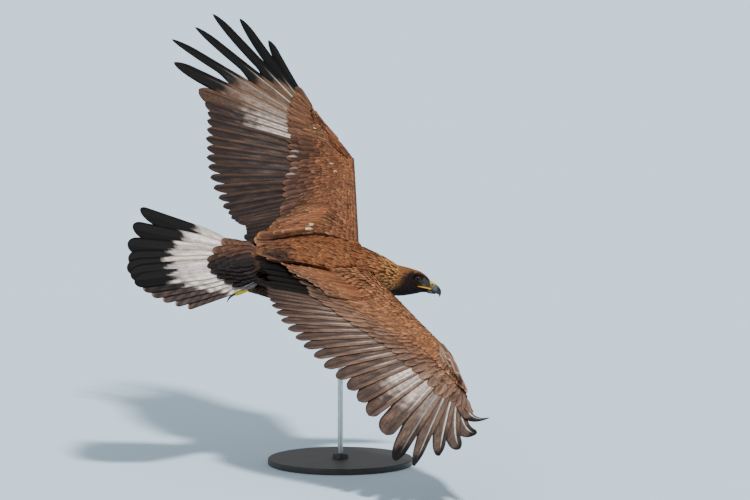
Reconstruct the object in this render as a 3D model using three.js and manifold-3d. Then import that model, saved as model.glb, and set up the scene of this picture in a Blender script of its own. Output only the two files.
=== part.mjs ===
// A young golden eagle, life size, in a banked glide on a plain display stand.
// Millimetres, +Z up. The bird flies along +X; the origin is the middle of the stand's underside.
// The bird is modelled level in its own frame (x forward, y left, z up) and then banked and pitched.

import * as THREE from "three";
import { mergeVertices } from "three/addons/utils/BufferGeometryUtils.js";
import Module from "manifold-3d";

const wasm = await Module();
wasm.setup();
const { Manifold } = wasm;

// Driving dimensions

const GAP = 0.4; // clear space between touching pieces
const BODY_HEIGHT = 530; // middle of the trunk over the floor
const BODY_BACK = 62; // middle of the trunk behind the rod, which meets the breast ahead of the thighs
const BANK = 30; // degrees, left wing up
const PITCH = 7; // degrees, nose down
const HEAD_YAW = -21; // degrees from the line of flight, to the right
const HEAD_PITCH = 10; // degrees, bill down
const NECK_START = [128, 0, 0]; // where the torso ends and the neck starts
const HEAD_START = [-48, 0, -10]; // where the neck ends and the head starts, in the head's frame
const HEAD_CUT_FACING = [1, 0, 0.35]; // the direction that cut faces

const PRIMARY_THICK = 0.9;
const VANE_THICK = 0.6;
const SHINGLE = 5; // degrees that each vane is rolled to lie over its outer neighbour
const HAND_SHINGLE = 6; // the same for the outer primaries, which are bunched at their roots
const STACK = 2; // each outer primary's root lies this far under its inner neighbour's

const PRIMARIES = 10;
const SECONDARIES = 14;
const TERTIALS = 4;
const INNERMOST = -(SECONDARIES + TERTIALS); // wing coordinate at the body; 0 is the wrist
const HAND_END = 10; // wing coordinate at the tip of the hand
const REMEX_START = 6; // a flight feather's root lies this far behind the bones
const HAND_FRONT = [24, 12]; // the hand's front edge ahead of the bones, by the wrist and at the tip
const WRIST_OUT = 6; // the front edge at the wrist lies this far out from the bones
const STEEPEST = 40; // degrees; feathers turned further out than this can't tell the sheet's tilt
const FLESH_IN_BODY = 34; // how far the wing's flesh runs on into the trunk before it is cut off

// Length of each flight feather, by wing coordinate
const REMEX_LENGTH = [
  [INNERMOST, 192],
  [-15, 214],
  [-12, 290],
  [-7, 344],
  [-0.5, 375],
  [1.5, 378],
  [3.5, 410],
  [5, 540],
  [6.5, 530],
  [8, 514],
  [9.5, 334],
];

// Rows of smaller feathers over the flight feathers, from one wing coordinate to another. Start and end
// are distances behind the bones, rise the heights over the flight feathers, half the half widths.
const WING_ROWS = [
  {
    name: "greater coverts",
    from: INNERMOST + 0.5,
    to: 8.5,
    step: 1.3,
    start: 10,
    end: [[-18, 118], [-12, 160], [-8, 164], [-4, 148], [0, 148], [3, 150], [6, 166], [9.5, 196]],
    rise: [6.2, 5.2],
    half: [[-18, 22], [-12, 18], [0, 19], [9.5, 14]],
  },
  {
    name: "median coverts",
    from: INNERMOST + 0.5,
    to: 5,
    step: 2.5,
    start: 0,
    end: [[-18, 88], [-8, 96], [0, 88], [6, 76]],
    rise: [11.4, 10],
    half: [[-18, 28], [-12, 24], [0, 26], [6, 22]],
  },
  {
    name: "scapulars",
    from: INNERMOST + 0.5,
    to: -13.5,
    step: 1,
    start: -10,
    end: [[-18, 150], [-13, 96]],
    rise: [16.5, 14.8],
    half: [[-18, 22], [-13, 20]],
  },
];

// The tail is a rudder here: its fan is rolled to the left and turned to the right. Azimuth is each
// feather's turn from straight back, by share of the fan from its right edge (-1) to its left edge (1).
const TAIL = {
  roll: 15,
  root: [-164, -16, -5],
  half: 46,
  azimuth: [[-1, -27], [-0.5, -19], [0, -12], [0.5, -3], [1, 23]],
};

// The two wings' poses, in the bird's frame. Points are for the left side, with y outwards; lead is
// how far the wrist's front edge lies ahead of its bones. Azimuth, elevation and bend are the flight
// feathers' by wing coordinate: degrees outwards and upwards, and lift at the tip as a share of length.
const POSES = {
  left: {
    side: 1,
    wrist: [153, 390, 70],
    hand: [111, 560, 88],
    elbow: [70, 190, 48],
    inner: [-4, 85, 34],
    front: [122, 52, 26],
    lead: 34,
    azimuth: [
      [-18, -6], [-10, -14], [-4, 10], [0, 25], [2.5, 33],
      [4, 41], [5.5, 52], [7, 66], [8.5, 76], [9.5, 81],
    ],
    elevation: [[-18, -5], [-8, -5.2], [0, -2.8], [4, -1.5], [7, 0], [9.5, 1.6]],
    bend: [[-18, -0.05], [-8, -0.05], [0, -0.043], [4, -0.045], [7, -0.01], [9.5, 0.04]],
  },
  right: {
    side: -1,
    wrist: [226, 373, 23],
    hand: [254, 548, 22],
    elbow: [60, 211, 32],
    inner: [-4, 82, 23],
    front: [132, 50, 16],
    lead: 24,
    azimuth: [
      [-18, -9], [-10, -7], [-4, 13], [0, 31], [2.5, 42],
      [4, 54], [5.5, 61], [7, 66.5], [8.5, 70], [9.5, 74],
    ],
    elevation: [[-18, 5], [-8, 4.3], [0, 4], [4, 2], [7, 5], [9.5, 7.5]],
    bend: [[-18, -0.048], [-8, -0.048], [0, -0.037], [4, -0.04], [7, 0.17], [9.5, 0.36]],
  },
};

// Small helpers

const rad = THREE.MathUtils.degToRad;
const vec = (a) => new THREE.Vector3(...a);
const clamp01 = (x) => Math.min(1, Math.max(0, x));
const UP = vec([0, 0, 1]);
const LEFT = vec([0, 1, 0]);
const smooth = (x) => clamp01(x) ** 2 * (3 - 2 * clamp01(x));

// Smooth value at t through [t, value] keys; a value is a number or a list of numbers.
function keyed(keys, t) {
  if (Array.isArray(keys[0][1])) return keys[0][1].map((_, n) => keyed(keys.map(([k, v]) => [k, v[n]]), t));
  const last = keys.length - 1;
  if (t <= keys[0][0]) return keys[0][1];
  if (t >= keys[last][0]) return keys[last][1];
  const i = keys.findIndex(([k]) => k > t) - 1;
  const slope = (n) => {
    const a = keys[Math.max(0, n - 1)];
    const b = keys[Math.min(last, n + 1)];
    return (b[1] - a[1]) / (b[0] - a[0]);
  };
  const [t0, v0] = keys[i];
  const [t1, v1] = keys[i + 1];
  const h = t1 - t0;
  const s = (t - t0) / h;
  const s2 = s * s;
  const s3 = s2 * s;
  return (
    v0 * (2 * s3 - 3 * s2 + 1) +
    slope(i) * h * (s3 - 2 * s2 + s) +
    v1 * (3 * s2 - 2 * s3) +
    slope(i + 1) * h * (s3 - s2)
  );
}

// A closed solid from a three.js geometry.
function solidOf(geometry) {
  const bare = geometry.index ? geometry.toNonIndexed() : geometry.clone();
  bare.deleteAttribute("normal");
  bare.deleteAttribute("uv");
  const merged = mergeVertices(bare, 1e-4);
  const make = (triVerts) =>
    new Manifold(new wasm.Mesh({ numProp: 3, vertProperties: merged.attributes.position.array, triVerts }));
  const faces = new Uint32Array(merged.index.array);
  const made = make(faces);
  if (made.volume() > 0) return made;
  for (let i = 0; i < faces.length; i += 3) [faces[i + 1], faces[i + 2]] = [faces[i + 2], faces[i + 1]];
  return make(faces);
}

// A closed solid through rings of points; isUnder(j) turns the diagonals of the faces after ring point j.
function loft(rings, isUnder = () => false) {
  const n = rings[0].length;
  const position = [];
  const index = [];
  rings.forEach((ring) => ring.forEach((p) => position.push(p.x, p.y, p.z)));
  for (let i = 0; i < rings.length - 1; i++) {
    for (let j = 0; j < n; j++) {
      const a = i * n + j;
      const b = i * n + ((j + 1) % n);
      const c = b + n;
      const d = a + n;
      if (isUnder(j)) index.push(a, b, d, b, c, d);
      else index.push(a, b, c, a, c, d);
    }
  }
  const capped = (i, a, b, c) => index.push(...(i === 0 ? [b, a, c] : [a, b, c]));
  [0, rings.length - 1].forEach((i) => {
    const first = i * n;
    if (n === 4) {
      capped(i, first, first + 1, first + 2);
      capped(i, first + 2, first + 3, first);
      return;
    }
    const middle = rings[i].reduce((m, p) => m.add(p), new THREE.Vector3()).divideScalar(n);
    const at = position.length / 3;
    position.push(middle.x, middle.y, middle.z);
    for (let j = 0; j < n; j++) capped(i, first + j, first + ((j + 1) % n), at);
  });
  const geometry = new THREE.BufferGeometry();
  geometry.setAttribute("position", new THREE.Float32BufferAttribute(position, 3));
  geometry.setIndex(index);
  return solidOf(geometry);
}

// The union of solids, with only its largest closed surface kept.
function fuse(solids) {
  return largest(Manifold.union(solids));
}

function largest(solid) {
  const pieces = solid.decompose();
  return pieces.reduce((best, p) => (p.volume() > best.volume() ? p : best), pieces[0]);
}

// Feather vanes

// A vane is a thin plate about a centre line. at(s) gives the line's point, its normal and its
// outward side for s from 0 (root) to 1 (tip); width(s) gives the vane's [inner, outer] width there.
function vane(at, width, stations, thick = VANE_THICK) {
  const half = thick / 2;
  const rings = stations.map((s) => {
    const { point, normal, side } = at(s);
    const [inner, outer] = width(s);
    const place = (y, z) => point.clone().addScaledVector(side, y).addScaledVector(normal, z);
    return [place(-inner, half), place(outer, half), place(outer, -half), place(-inner, -half)];
  });
  return loft(rings, (j) => j === 2);
}

// Shares of a vane's length at which its outline is drawn
const STATIONS_LONG = [0, 0.22, 0.45, 0.72, 0.94, 1];
const STATIONS = [0, 0.3, 0.62, 0.92, 1];
const STATIONS_SHORT = [0, 0.35, 0.85, 1];
const STATIONS_POINTED = [0, 0.3, 0.7, 1];

// Share of a vane's full width at s: narrow at the quill, round at the tip.
function roundTip(s, quill = 0.2, tip = 0.2) {
  const grow = 0.2 + 0.8 * smooth(s / quill);
  const end = s > 1 - tip ? Math.sqrt(Math.max(0, 1 - ((s - 1 + tip) / tip) ** 2)) : 1;
  return grow * (0.2 + 0.8 * end);
}

// Small repeatable differences between like feathers, about -1 to 1.
const vary = (seed) => Math.sin(seed * 12.9898 + 4.1) * 0.7 + Math.sin(seed * 78.233) * 0.3;

// Wings

// Everything on a wing is placed by wing coordinates: k along the span, q back from the bone line
// and h above the sheet of the flight feathers.
function wingSheet(pose) {
  const { side } = pose;
  const out = (p) => [p[0], p[1] * side, p[2]];
  const bones = [
    [INNERMOST, out(pose.inner)],
    [-SECONDARIES + 0.5, out(pose.elbow)],
    [0, out(pose.wrist)],
    [HAND_END, out(pose.hand)],
  ];
  const root = (k) => vec(keyed(bones, k));
  const direction = (azimuth, elevation) => {
    const [a, e] = [rad(azimuth), rad(elevation)];
    return new THREE.Vector3(-Math.cos(a) * Math.cos(e), side * Math.sin(a) * Math.cos(e), Math.sin(e));
  };
  const aim = (k) => direction(keyed(pose.azimuth, k), keyed(pose.elevation, k));
  // Square to the sheet at the bones. The outer primaries lie almost along the hand, so their own
  // direction can't tell it.
  const up = (k) => {
    const span = root(k + 0.5).sub(root(k - 0.5));
    const back = direction(Math.min(keyed(pose.azimuth, k), STEEPEST), keyed(pose.elevation, k));
    return new THREE.Vector3().crossVectors(span, back).multiplyScalar(side).normalize();
  };
  const length = (k) => keyed(REMEX_LENGTH, k);
  const wristFront = root(0).addScaledVector(aim(0), -pose.lead).add(vec([0, side * WRIST_OUT, 0]));
  const [handLead, tipLead] = HAND_FRONT;
  const front = (k) => {
    if (k > 0) {
      const lead = handLead + (tipLead - handLead) * smooth(k / HAND_END);
      return root(k).addScaledVector(aim(k), -lead).lerp(wristFront, 1 - smooth(k / 3));
    }
    return vec(out(pose.front)).lerp(wristFront, 1 - k / INNERMOST);
  };
  const place = (k, q, h) => {
    const base = root(k);
    const n = up(k);
    if (q < 0) {
      const f = front(k);
      const reach = f.distanceTo(base);
      return base.lerp(f, -q / reach).addScaledVector(n, h);
    }
    const lift = keyed(pose.bend, k) * length(k) * (q / length(k)) ** 2;
    return base.addScaledVector(aim(k), q).addScaledVector(n, h + lift);
  };
  return { side, root, aim, up, length, front, place };
}

// The wing's flesh: greatest height over and under the feather sheet, and reach behind the bones
const CORE_TOP = [[-18, 24], [-13, 22], [-6, 18], [0, 17], [5, 14], [10, 9]];
const CORE_UNDER = [[-18, 24], [-13, 18], [-6, 14], [0, 13], [5, 11], [10, 8]];
const CORE_BACK = [[-18, 66], [-10, 58], [0, 46], [5, 38], [10, 26]];
const CORE_EDGE = 2.4; // half of its thickness at the back

// Height of the flesh at share v of the way from the front edge to its back.
function fleshHeight(k, v, isTop) {
  const crown = keyed(isTop ? CORE_TOP : CORE_UNDER, k);
  return CORE_EDGE * v + crown * Math.min(1, 2.5 * Math.sqrt(v) * (1 - v) ** 1.1);
}

function wingCore(sheet) {
  const stations = [-18, -15.5, -13, -10, -7, -4, -2, 0, 1.5, 3.5, 6, 8.5, 10];
  const shares = [0.03, 0.14, 0.36, 0.66, 1];
  const rings = stations.map((k) => {
    const reach = sheet.front(k).distanceTo(sheet.root(k));
    const back = keyed(CORE_BACK, k);
    const q = (v) => v * (reach + back) - reach;
    const top = shares.map((v) => sheet.place(k, q(v), fleshHeight(k, v, true)));
    const under = shares.map((v) => sheet.place(k, q(v), -fleshHeight(k, v, false)));
    return [sheet.place(k, -reach, 0), ...top, ...under.reverse()];
  });
  const inBody = vec([0, -sheet.side * FLESH_IN_BODY, 0]);
  return loft([rings[0].map((p) => p.clone().add(inBody)), ...rings]);
}

// Frame of a feather on the wing at s of its length, from q0 to q1 at heights h0 to h1.
function wingFrame(sheet, k, { q0, q1, h0, h1 }) {
  const turn = rad(SHINGLE + (HAND_SHINGLE - SHINGLE) * smooth((k - 3) / 3));
  const stack = STACK * Math.max(0, k - 5.5);
  return (s) => {
    const q = q0 + (q1 - q0) * s;
    const h = h0 + (h1 - h0) * s - stack;
    const point = sheet.place(k, q, h);
    const ahead = sheet.place(k, q + 2, h).sub(sheet.place(k, q - 2, h)).normalize();
    const across = sheet.place(k + 0.5, q, h).sub(sheet.place(k - 0.5, q, h));
    const steady = 6 * smooth((k - 5) / 3) * (1 - smooth(q / 120));
    const normal = new THREE.Vector3()
      .crossVectors(across, ahead)
      .multiplyScalar(sheet.side)
      .addScaledVector(sheet.up(k), steady)
      .normalize();
    const side = new THREE.Vector3().crossVectors(ahead, normal).multiplyScalar(sheet.side);
    return {
      point,
      side: side.clone().multiplyScalar(Math.cos(turn)).addScaledVector(normal, Math.sin(turn)),
      normal: normal.clone().multiplyScalar(Math.cos(turn)).addScaledVector(side, -Math.sin(turn)),
    };
  };
}

// Widths of a flight feather: the outer primaries narrow to fingers past the notch.
function remexWidth(k, s) {
  const finger = smooth((k - 3.5) / 2);
  const inner = keyed([[-18, 27], [-12, 20], [-6, 26], [0, 30], [5, 32], [10, 24]], k);
  const outer = keyed([[-18, 16], [-12, 12], [-6, 14], [0, 14], [5, 14], [10, 10]], k);
  const notch = keyed([[4, 0.6], [6, 0.5], [9.5, 0.36]], k);
  const cut = smooth((s - notch) / 0.16);
  const share = roundTip(s, 0.2, 0.14 + 0.2 * finger);
  return [inner * share * (1 - 0.3 * finger * cut), outer * share * (1 - 0.15 * finger * cut)];
}

function wing(pose) {
  const sheet = wingSheet(pose);
  const pieces = [wingCore(sheet)];
  for (let k = INNERMOST + 0.5; k < PRIMARIES; k++) {
    const q1 = sheet.length(k) * (1 + 0.012 * vary(k));
    const at = wingFrame(sheet, k, { q0: REMEX_START, q1, h0: 0, h1: 0 });
    const width = (s) => remexWidth(k, s);
    pieces.push(k > 0 ? vane(at, width, STATIONS_LONG, PRIMARY_THICK) : vane(at, width, STATIONS));
  }
  for (const row of WING_ROWS) {
    for (let k = row.from; k <= row.to; k += row.step) {
      const q1 = keyed(row.end, k) * (1 + 0.03 * vary(k + row.start));
      const at = wingFrame(sheet, k, { q0: row.start, q1, h0: row.rise[0], h1: row.rise[1] });
      const half = keyed(row.half, k);
      pieces.push(vane(at, (s) => [half * roundTip(s), half * roundTip(s)], STATIONS_SHORT));
    }
  }
  return fuse(pieces);
}

// Body

const bank = new THREE.Matrix4().makeRotationX(rad(BANK));
const birdTurn = new THREE.Matrix4().makeRotationY(rad(PITCH)).multiply(bank);
const headPitch = new THREE.Matrix4().makeRotationY(rad(HEAD_PITCH));
const headTurnInWorld = new THREE.Matrix4().makeRotationZ(rad(HEAD_YAW)).multiply(headPitch);
const HEAD_AT = [278.5, -18, -5]; // the point between the eyes
const headFrame = birdTurn.clone().invert().multiply(headTurnInWorld).setPosition(vec(HEAD_AT));

// The body from rump to nape. By distance along it: x, y, z of its middle, half width, top, bottom.
const BODY = [
  [-168, [-168, -11, 0, 47, 24, 28]],
  [-140, [-140, -6, 1, 55, 32, 40]],
  [-100, [-100, -2, 0, 63, 42, 54]],
  [-50, [-50, 0, -2, 70, 52, 70]],
  [10, [10, 0, -2, 80, 56, 84]],
  [70, [70, 0, -2, 84, 54, 84]],
  [115, [115, 0, 0, 72, 50, 70]],
  [150, [149, -1, -3, 58, 47, 56]],
  [185, [182, -2, -12, 48, 43, 47]],
  [218, [214, -4, -23, 41, 38, 39]],
  [246, [240, -11, -24, 36, 33, 34]],
];
const BODY_START = BODY[0][0];
const BODY_END = BODY[BODY.length - 1][0];

function oval(centre, across, upward, half, top, bottom, count) {
  return Array.from({ length: count }, (_, i) => {
    const a = (2 * Math.PI * i) / count;
    const s = Math.sin(a);
    return centre
      .clone()
      .addScaledVector(across, half * Math.cos(a))
      .addScaledVector(upward, s > 0 ? top * s : bottom * s);
  });
}

function bodySection(u) {
  const middle = (at) => vec(keyed(BODY, at).slice(0, 3));
  const [half, top, bottom] = keyed(BODY, u).slice(3);
  const along = middle(Math.min(u + 4, BODY_END)).sub(middle(Math.max(u - 4, BODY_START))).normalize();
  const across = new THREE.Vector3().crossVectors(UP, along).normalize();
  const upward = new THREE.Vector3().crossVectors(along, across);
  return { centre: middle(u), along, across, upward, half, top, bottom };
}

// The body, or the room it takes with a clearance round it.
function bodyTube(clear = 0) {
  const rings = Array.from({ length: 21 }, (_, i) => {
    const section = bodySection(BODY_START + ((BODY_END - BODY_START) * i) / 20);
    const { centre, along, across, upward, half, top, bottom } = section;
    if (i === 0) centre.addScaledVector(along, -clear);
    return oval(centre, across, upward, half + clear, top + clear, bottom + clear, 18);
  });
  return loft(rings);
}

// A point out from the body's surface, turned from its top to the left by degrees.
function bodyPoint(u, turn, out) {
  const { centre, across, upward, half, top, bottom } = bodySection(u);
  const a = rad(turn);
  const high = Math.cos(a) > 0 ? top : bottom;
  const round = new THREE.Vector2(Math.sin(a) / half, Math.cos(a) / high).normalize();
  return centre
    .addScaledVector(across, half * Math.sin(a) + out * round.x)
    .addScaledVector(upward, high * Math.cos(a) + out * round.y);
}

// Pointed hackles on the nape and the sides of the neck, in rows round the neck
const HACKLES = {
  rows: [226, 204, 182], // distances along the body
  turn: 96, // degrees to either side of the top
  across: 7,
  length: 52,
  quill: 6.6, // half of the width by the root
  half: 11, // of the width past the root, before it tapers
  taper: 10.5,
  sunk: -2.6,
  lift: 9.5,
};

function hackle(u, turn, long) {
  const { quill, half, taper, sunk, lift } = HACKLES;
  const line = (s) => bodyPoint(u - long * s, turn, sunk + lift * s ** 0.8);
  return vane(
    (s) => {
      const along = line(Math.min(1, s + 0.04)).sub(line(Math.max(0, s - 0.04))).normalize();
      const out = bodyPoint(u - long * s, turn, 10).sub(bodyPoint(u - long * s, turn, 0)).normalize();
      const side = new THREE.Vector3().crossVectors(along, out).normalize();
      return { point: line(s), side, normal: new THREE.Vector3().crossVectors(side, along) };
    },
    (s) => Array(2).fill(s < 0.3 ? quill : half - taper * s ** 1.6),
    STATIONS_POINTED,
  );
}

function hackles() {
  const { rows, turn, across, length } = HACKLES;
  return rows.flatMap((u, row) =>
    Array.from({ length: across - (row % 2) }, (_, i) => {
      const share = ((i + 0.5 + 0.5 * (row % 2)) / across) * 2 - 1;
      const seed = row * across + i;
      const long = length * (1 + 0.08 * vary(seed + 90));
      return hackle(u + 2 * vary(seed), share * turn + 2 * vary(seed + 50), long);
    }),
  );
}

// Head

// The head's sections by x in its own frame: [half width, top, bottom]
const HEAD = [
  [-64, [37, 24, 58]],
  [-40, [36, 23, 56]],
  [-20, [33, 21, 50]],
  [0, [29, 18, 43]],
  [14, [24, 12.5, 37]],
  [25, [18, 5.5, 35]],
  [33, [13.6, -1.6, 34.5]],
];
const EYE = { x: 0, y: 18.5, z: -0.5, ball: 11.5, detail: 14 };
const LIDS = { ring: 8.4, thick: 1.7, stretch: [1.18, 0.86, 1], turn: 12, ahead: 0.8, out: 7.6 };
const BROW = { radii: [16, 5.2, 3.4], pitch: 14, yaw: 8, at: [1, 23.5, 9.6], detail: 9 };
const NOSTRIL = { radii: [3.2, 3, 2], pitch: 25, at: [40.6, 9.6, -10.4], detail: 10 };
const GAPE = { corner: [1.5, -18.7], front: [35, -21.5], thick: 1.5 };

// Bill sections as [x and z at the top, x and z at the bottom, half width]
const CERE = [
  [[33.4, -2.4], [33.4, -21.2], 13.2],
  [[40, -4.4], [40, -25], 11.4],
  [[46, -7], [46, -29.4], 9.8],
];
const UPPER_BILL = [
  [[46.4, -7.2], [46.4, -29.7], 9.7],
  [[52, -10.4], [51, -32.4], 8.7],
  [[58.2, -14.4], [56, -33.6], 7.2],
  [[63.2, -19.6], [59.6, -34.4], 5.8],
  [[66.2, -25.6], [61.4, -35.4], 4.4],
  [[66.8, -31.6], [62.2, -36.8], 3.1],
  [[65.4, -37.4], [62.4, -38.8], 1.8],
  [[63.4, -41.2], [62.8, -41], 0.5],
];
const LOWER_BILL = [
  [[24, -22.4], [24, -34], 8.6],
  [[34, -23], [34, -36], 8.8],
  [[40, -26.6], [40, -36], 7.8],
  [[46, -31.2], [46, -35.6], 6],
  [[50, -33.6], [50, -35.2], 3.6],
  [[52, -34.4], [52, -34.9], 1.6],
];

function headLoft() {
  const first = HEAD[0][0];
  const last = HEAD[HEAD.length - 1][0];
  const rings = Array.from({ length: 11 }, (_, i) => {
    const x = first + ((last - first) * i) / 10;
    const [half, top, bottom] = keyed(HEAD, x);
    const z = (top - bottom) / 2;
    return oval(vec([x, 0, z]), LEFT, UP, half, top - z, bottom + z, 16);
  });
  return loft(rings);
}

function billLoft(sections) {
  const rings = sections.map(([[cx, cz], [tx, tz], half]) => {
    const top = vec([cx, 0, cz]);
    const low = vec([tx, 0, tz]);
    const upward = top.clone().sub(low);
    const high = upward.length() / 2;
    return oval(top.add(low).multiplyScalar(0.5), LEFT, upward.normalize(), half, high, high, 12);
  });
  return loft(rings);
}

function ball(centre, radii, detail) {
  const sphere = new THREE.SphereGeometry(1, detail, Math.round(detail * 0.6));
  return solidOf(sphere).scale(radii).translate(centre);
}

// A tube of even thickness through points.
function tube(points, radius, sides = 6) {
  const line = new THREE.CatmullRomCurve3(points.map(vec));
  const count = points.length * 2;
  const rings = Array.from({ length: count + 1 }, (_, i) => {
    const t = i / count;
    const along = line.getTangent(t);
    const across = new THREE.Vector3().crossVectors(UP, along).normalize();
    const upward = new THREE.Vector3().crossVectors(along, across);
    const r = typeof radius === "number" ? radius : keyed(radius, t);
    return oval(line.getPoint(t), across, upward, r, r, r, sides);
  });
  return loft(rings);
}

// Both sides of a piece of the head.
const bothSides = (make) => [make(1), make(-1)];

function lids(side) {
  const ring = new THREE.TorusGeometry(LIDS.ring, LIDS.thick, 5, 14);
  return solidOf(ring)
    .scale(LIDS.stretch)
    .rotate([90, 0, side * LIDS.turn])
    .translate([EYE.x + LIDS.ahead, side * (EYE.y + LIDS.out), EYE.z]);
}

function brow(side) {
  const [x, y, z] = BROW.at;
  return ball([0, 0, 0], BROW.radii, BROW.detail)
    .rotate([0, BROW.pitch, -side * BROW.yaw])
    .translate([x, side * y, z]);
}

function nostril(side) {
  const [x, y, z] = NOSTRIL.at;
  return ball([0, 0, 0], NOSTRIL.radii, NOSTRIL.detail)
    .rotate([0, NOSTRIL.pitch, 0])
    .translate([x, side * y, z]);
}

function eyeBall(side, radius) {
  return ball([EYE.x, side * EYE.y, EYE.z], [radius, radius, radius], EYE.detail);
}

function gapeRidge(side, clear = 0) {
  const [x0, z0] = GAPE.corner;
  const [x1, z1] = GAPE.front;
  const points = [0, 0.35, 0.7, 1].map((t) => {
    const x = x0 + (x1 - x0) * t;
    const [half, top, bottom] = keyed(HEAD, x);
    const z = z0 + (z1 - z0) * t;
    const middle = (top - bottom) / 2;
    const y = half * Math.sqrt(1 - ((z - middle) / (bottom + middle)) ** 2);
    return [x, side * (y - 0.3 + (1 - t) * 0.2), z];
  });
  points.push([x1 + 4, points[3][1] * 0.86, z1 - 0.6]);
  return tube(points, GAPE.thick + clear);
}

function headPieces() {
  const skull = fuse([headLoft(), ...bothSides(brow), ...bothSides(lids)]);
  const eyes = bothSides((side) => eyeBall(side, EYE.ball));
  const sockets = bothSides((side) => eyeBall(side, EYE.ball + GAP));
  const nostrils = Manifold.union(bothSides(nostril));
  const cere = fuse([billLoft(CERE), ...bothSides((side) => gapeRidge(side))]).subtract(nostrils);
  const cereRoom = bothSides((side) => gapeRidge(side, GAP));
  const lowerRoom = billLoft(
    LOWER_BILL.map(([culmen, edge, half]) => {
      return [[culmen[0], culmen[1] + GAP], [edge[0], edge[1] - GAP], half + GAP];
    }),
  );
  return {
    skull: skull.subtract(Manifold.union([...sockets, ...cereRoom, lowerRoom])),
    eyes,
    cere: largest(cere),
    upper: billLoft(UPPER_BILL),
    lower: largest(billLoft(LOWER_BILL).subtract(Manifold.union(cereRoom))),
  };
}

// Legs, tucked back under the tail

const THIGH = [
  [[30, 44, -58], 26],
  [[-20, 44, -67], 30],
  [[-70, 43, -73], 25],
  [[-112, 41, -73], 17],
  [[-150, 39, -71], 12.5],
  [[-184, 37, -68], 10.5],
];
const TOES = [
  { start: [-190, 29, -66], end: [-236, 21, -64], radius: 6 },
  { start: [-192, 37, -66], end: [-246, 37, -66], radius: 6.4 },
  { start: [-190, 45, -66], end: [-238, 55, -66], radius: 6 },
  { start: [-188, 37, -72], end: [-214, 33, -92], radius: 6.6 },
];
const TOE_SAG = 3; // how far a toe's middle hangs below the line from its start to its end
// A claw by its toe's radius: its length, how thick and deep its root is, and the turn of its curl
const CLAW = { long: 5, thick: 0.66, deep: 0.76, curl: 1.9, sunk: 2 };

const sided = (p, side) => vec([p[0], p[1] * side, p[2]]);

function leg(side, clear = 0) {
  const line = new THREE.CatmullRomCurve3(THIGH.map(([p]) => sided(p, side)));
  const radii = THIGH.map(([, r], i) => [i / (THIGH.length - 1), r]);
  const rings = Array.from({ length: 10 }, (_, i) => {
    const t = i / 9;
    const along = line.getTangent(t);
    const across = new THREE.Vector3().crossVectors(UP, along).normalize();
    const upward = new THREE.Vector3().crossVectors(along, across);
    const r = keyed(radii, t) + clear;
    const end = line.getPoint(t).addScaledVector(along, i === 9 ? clear : 0);
    return oval(end, across, upward, r * 0.94, r, r, 14);
  });
  return loft(rings);
}

function toe(side, { start, end, radius }, clear = 0) {
  const a = sided(start, side);
  const b = sided(end, side);
  const middle = a.clone().lerp(b, 0.55).addScaledVector(UP, -TOE_SAG);
  const line = new THREE.CatmullRomCurve3([a, middle, b]);
  const rings = Array.from({ length: 6 }, (_, i) => {
    const t = i / 5;
    const along = line.getTangent(t);
    const across = new THREE.Vector3().crossVectors(vec([0, 1, 0.2]), along).normalize();
    const upward = new THREE.Vector3().crossVectors(along, across);
    const r = radius * (1 - 0.25 * t) + clear;
    const at = line.getPoint(t).addScaledVector(along, i === 5 ? clear : 0);
    return oval(at, across, upward, r, r, r, 7);
  });
  return loft(rings);
}

// A claw curls down and forwards from the end of its toe.
function claw(side, { start, end, radius }) {
  const a = sided(start, side);
  const b = sided(end, side);
  const ahead = b.clone().sub(a).normalize();
  const bow = (radius * CLAW.long) / CLAW.curl;
  const down = UP.clone().negate();
  const points = [0, 0.35, 0.7, 1].map((t) => {
    const turn = t * CLAW.curl;
    return b
      .clone()
      .addScaledVector(ahead, bow * Math.sin(turn) - CLAW.sunk)
      .addScaledVector(down, bow * (1 - Math.cos(turn)));
  });
  const line = new THREE.CatmullRomCurve3(points);
  const across = new THREE.Vector3().crossVectors(ahead, down).normalize();
  const rings = Array.from({ length: 5 }, (_, i) => {
    const t = i / 4;
    const along = line.getTangent(t);
    const upward = new THREE.Vector3().crossVectors(along, across).normalize();
    const r = radius * (1 - 0.9 * t);
    return oval(line.getPoint(t), across, upward, r * CLAW.thick, r * CLAW.deep, r * CLAW.deep, 6);
  });
  return loft(rings);
}

// Tail

// The tail's block between the torso and its feathers, by distance back from the fan's root:
// [half width, top, bottom]
const TAIL_BLOCK = [
  [TAIL.root[0] - BODY_START + GAP, [46, 21, 25]],
  [26, [45, 16, 20]],
  [50, [40, 10, 15]],
  [72, [30, 5, 10]],
];
// Rows of the tail fan: twelve long feathers and two rows of coverts over them. Start and end are
// distances from the fan's root, the end by share of the fan; fan is the row's share of its spread.
const TAIL_ROWS = [
  {
    count: 12,
    fan: 1,
    start: 14,
    end: [[-1, 231], [-0.5, 327], [0, 375], [0.5, 360], [1, 307]],
    rise: [2, 2],
    step: 1.1,
    half: 28,
    quill: 0.42,
    tip: 0.1,
    stations: STATIONS,
  },
  {
    count: 7,
    fan: 0.9,
    start: 8,
    end: [[-1, 88], [-0.35, 132], [0.1, 150], [0.5, 132], [1, 84]],
    rise: [9.5, 7.5],
    step: 0.9,
    half: 20,
    quill: 0.4,
    tip: 0.2,
    stations: STATIONS_SHORT,
  },
  {
    count: 5,
    fan: 0.7,
    start: 4,
    end: [[-1, 66], [0, 98], [1, 70]],
    rise: [16, 13],
    step: 1,
    half: 22,
    quill: 0.4,
    tip: 0.2,
    stations: STATIONS_SHORT,
  },
];

const tailPlace = new THREE.Matrix4().makeRotationX(rad(TAIL.roll)).setPosition(vec(TAIL.root));

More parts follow.
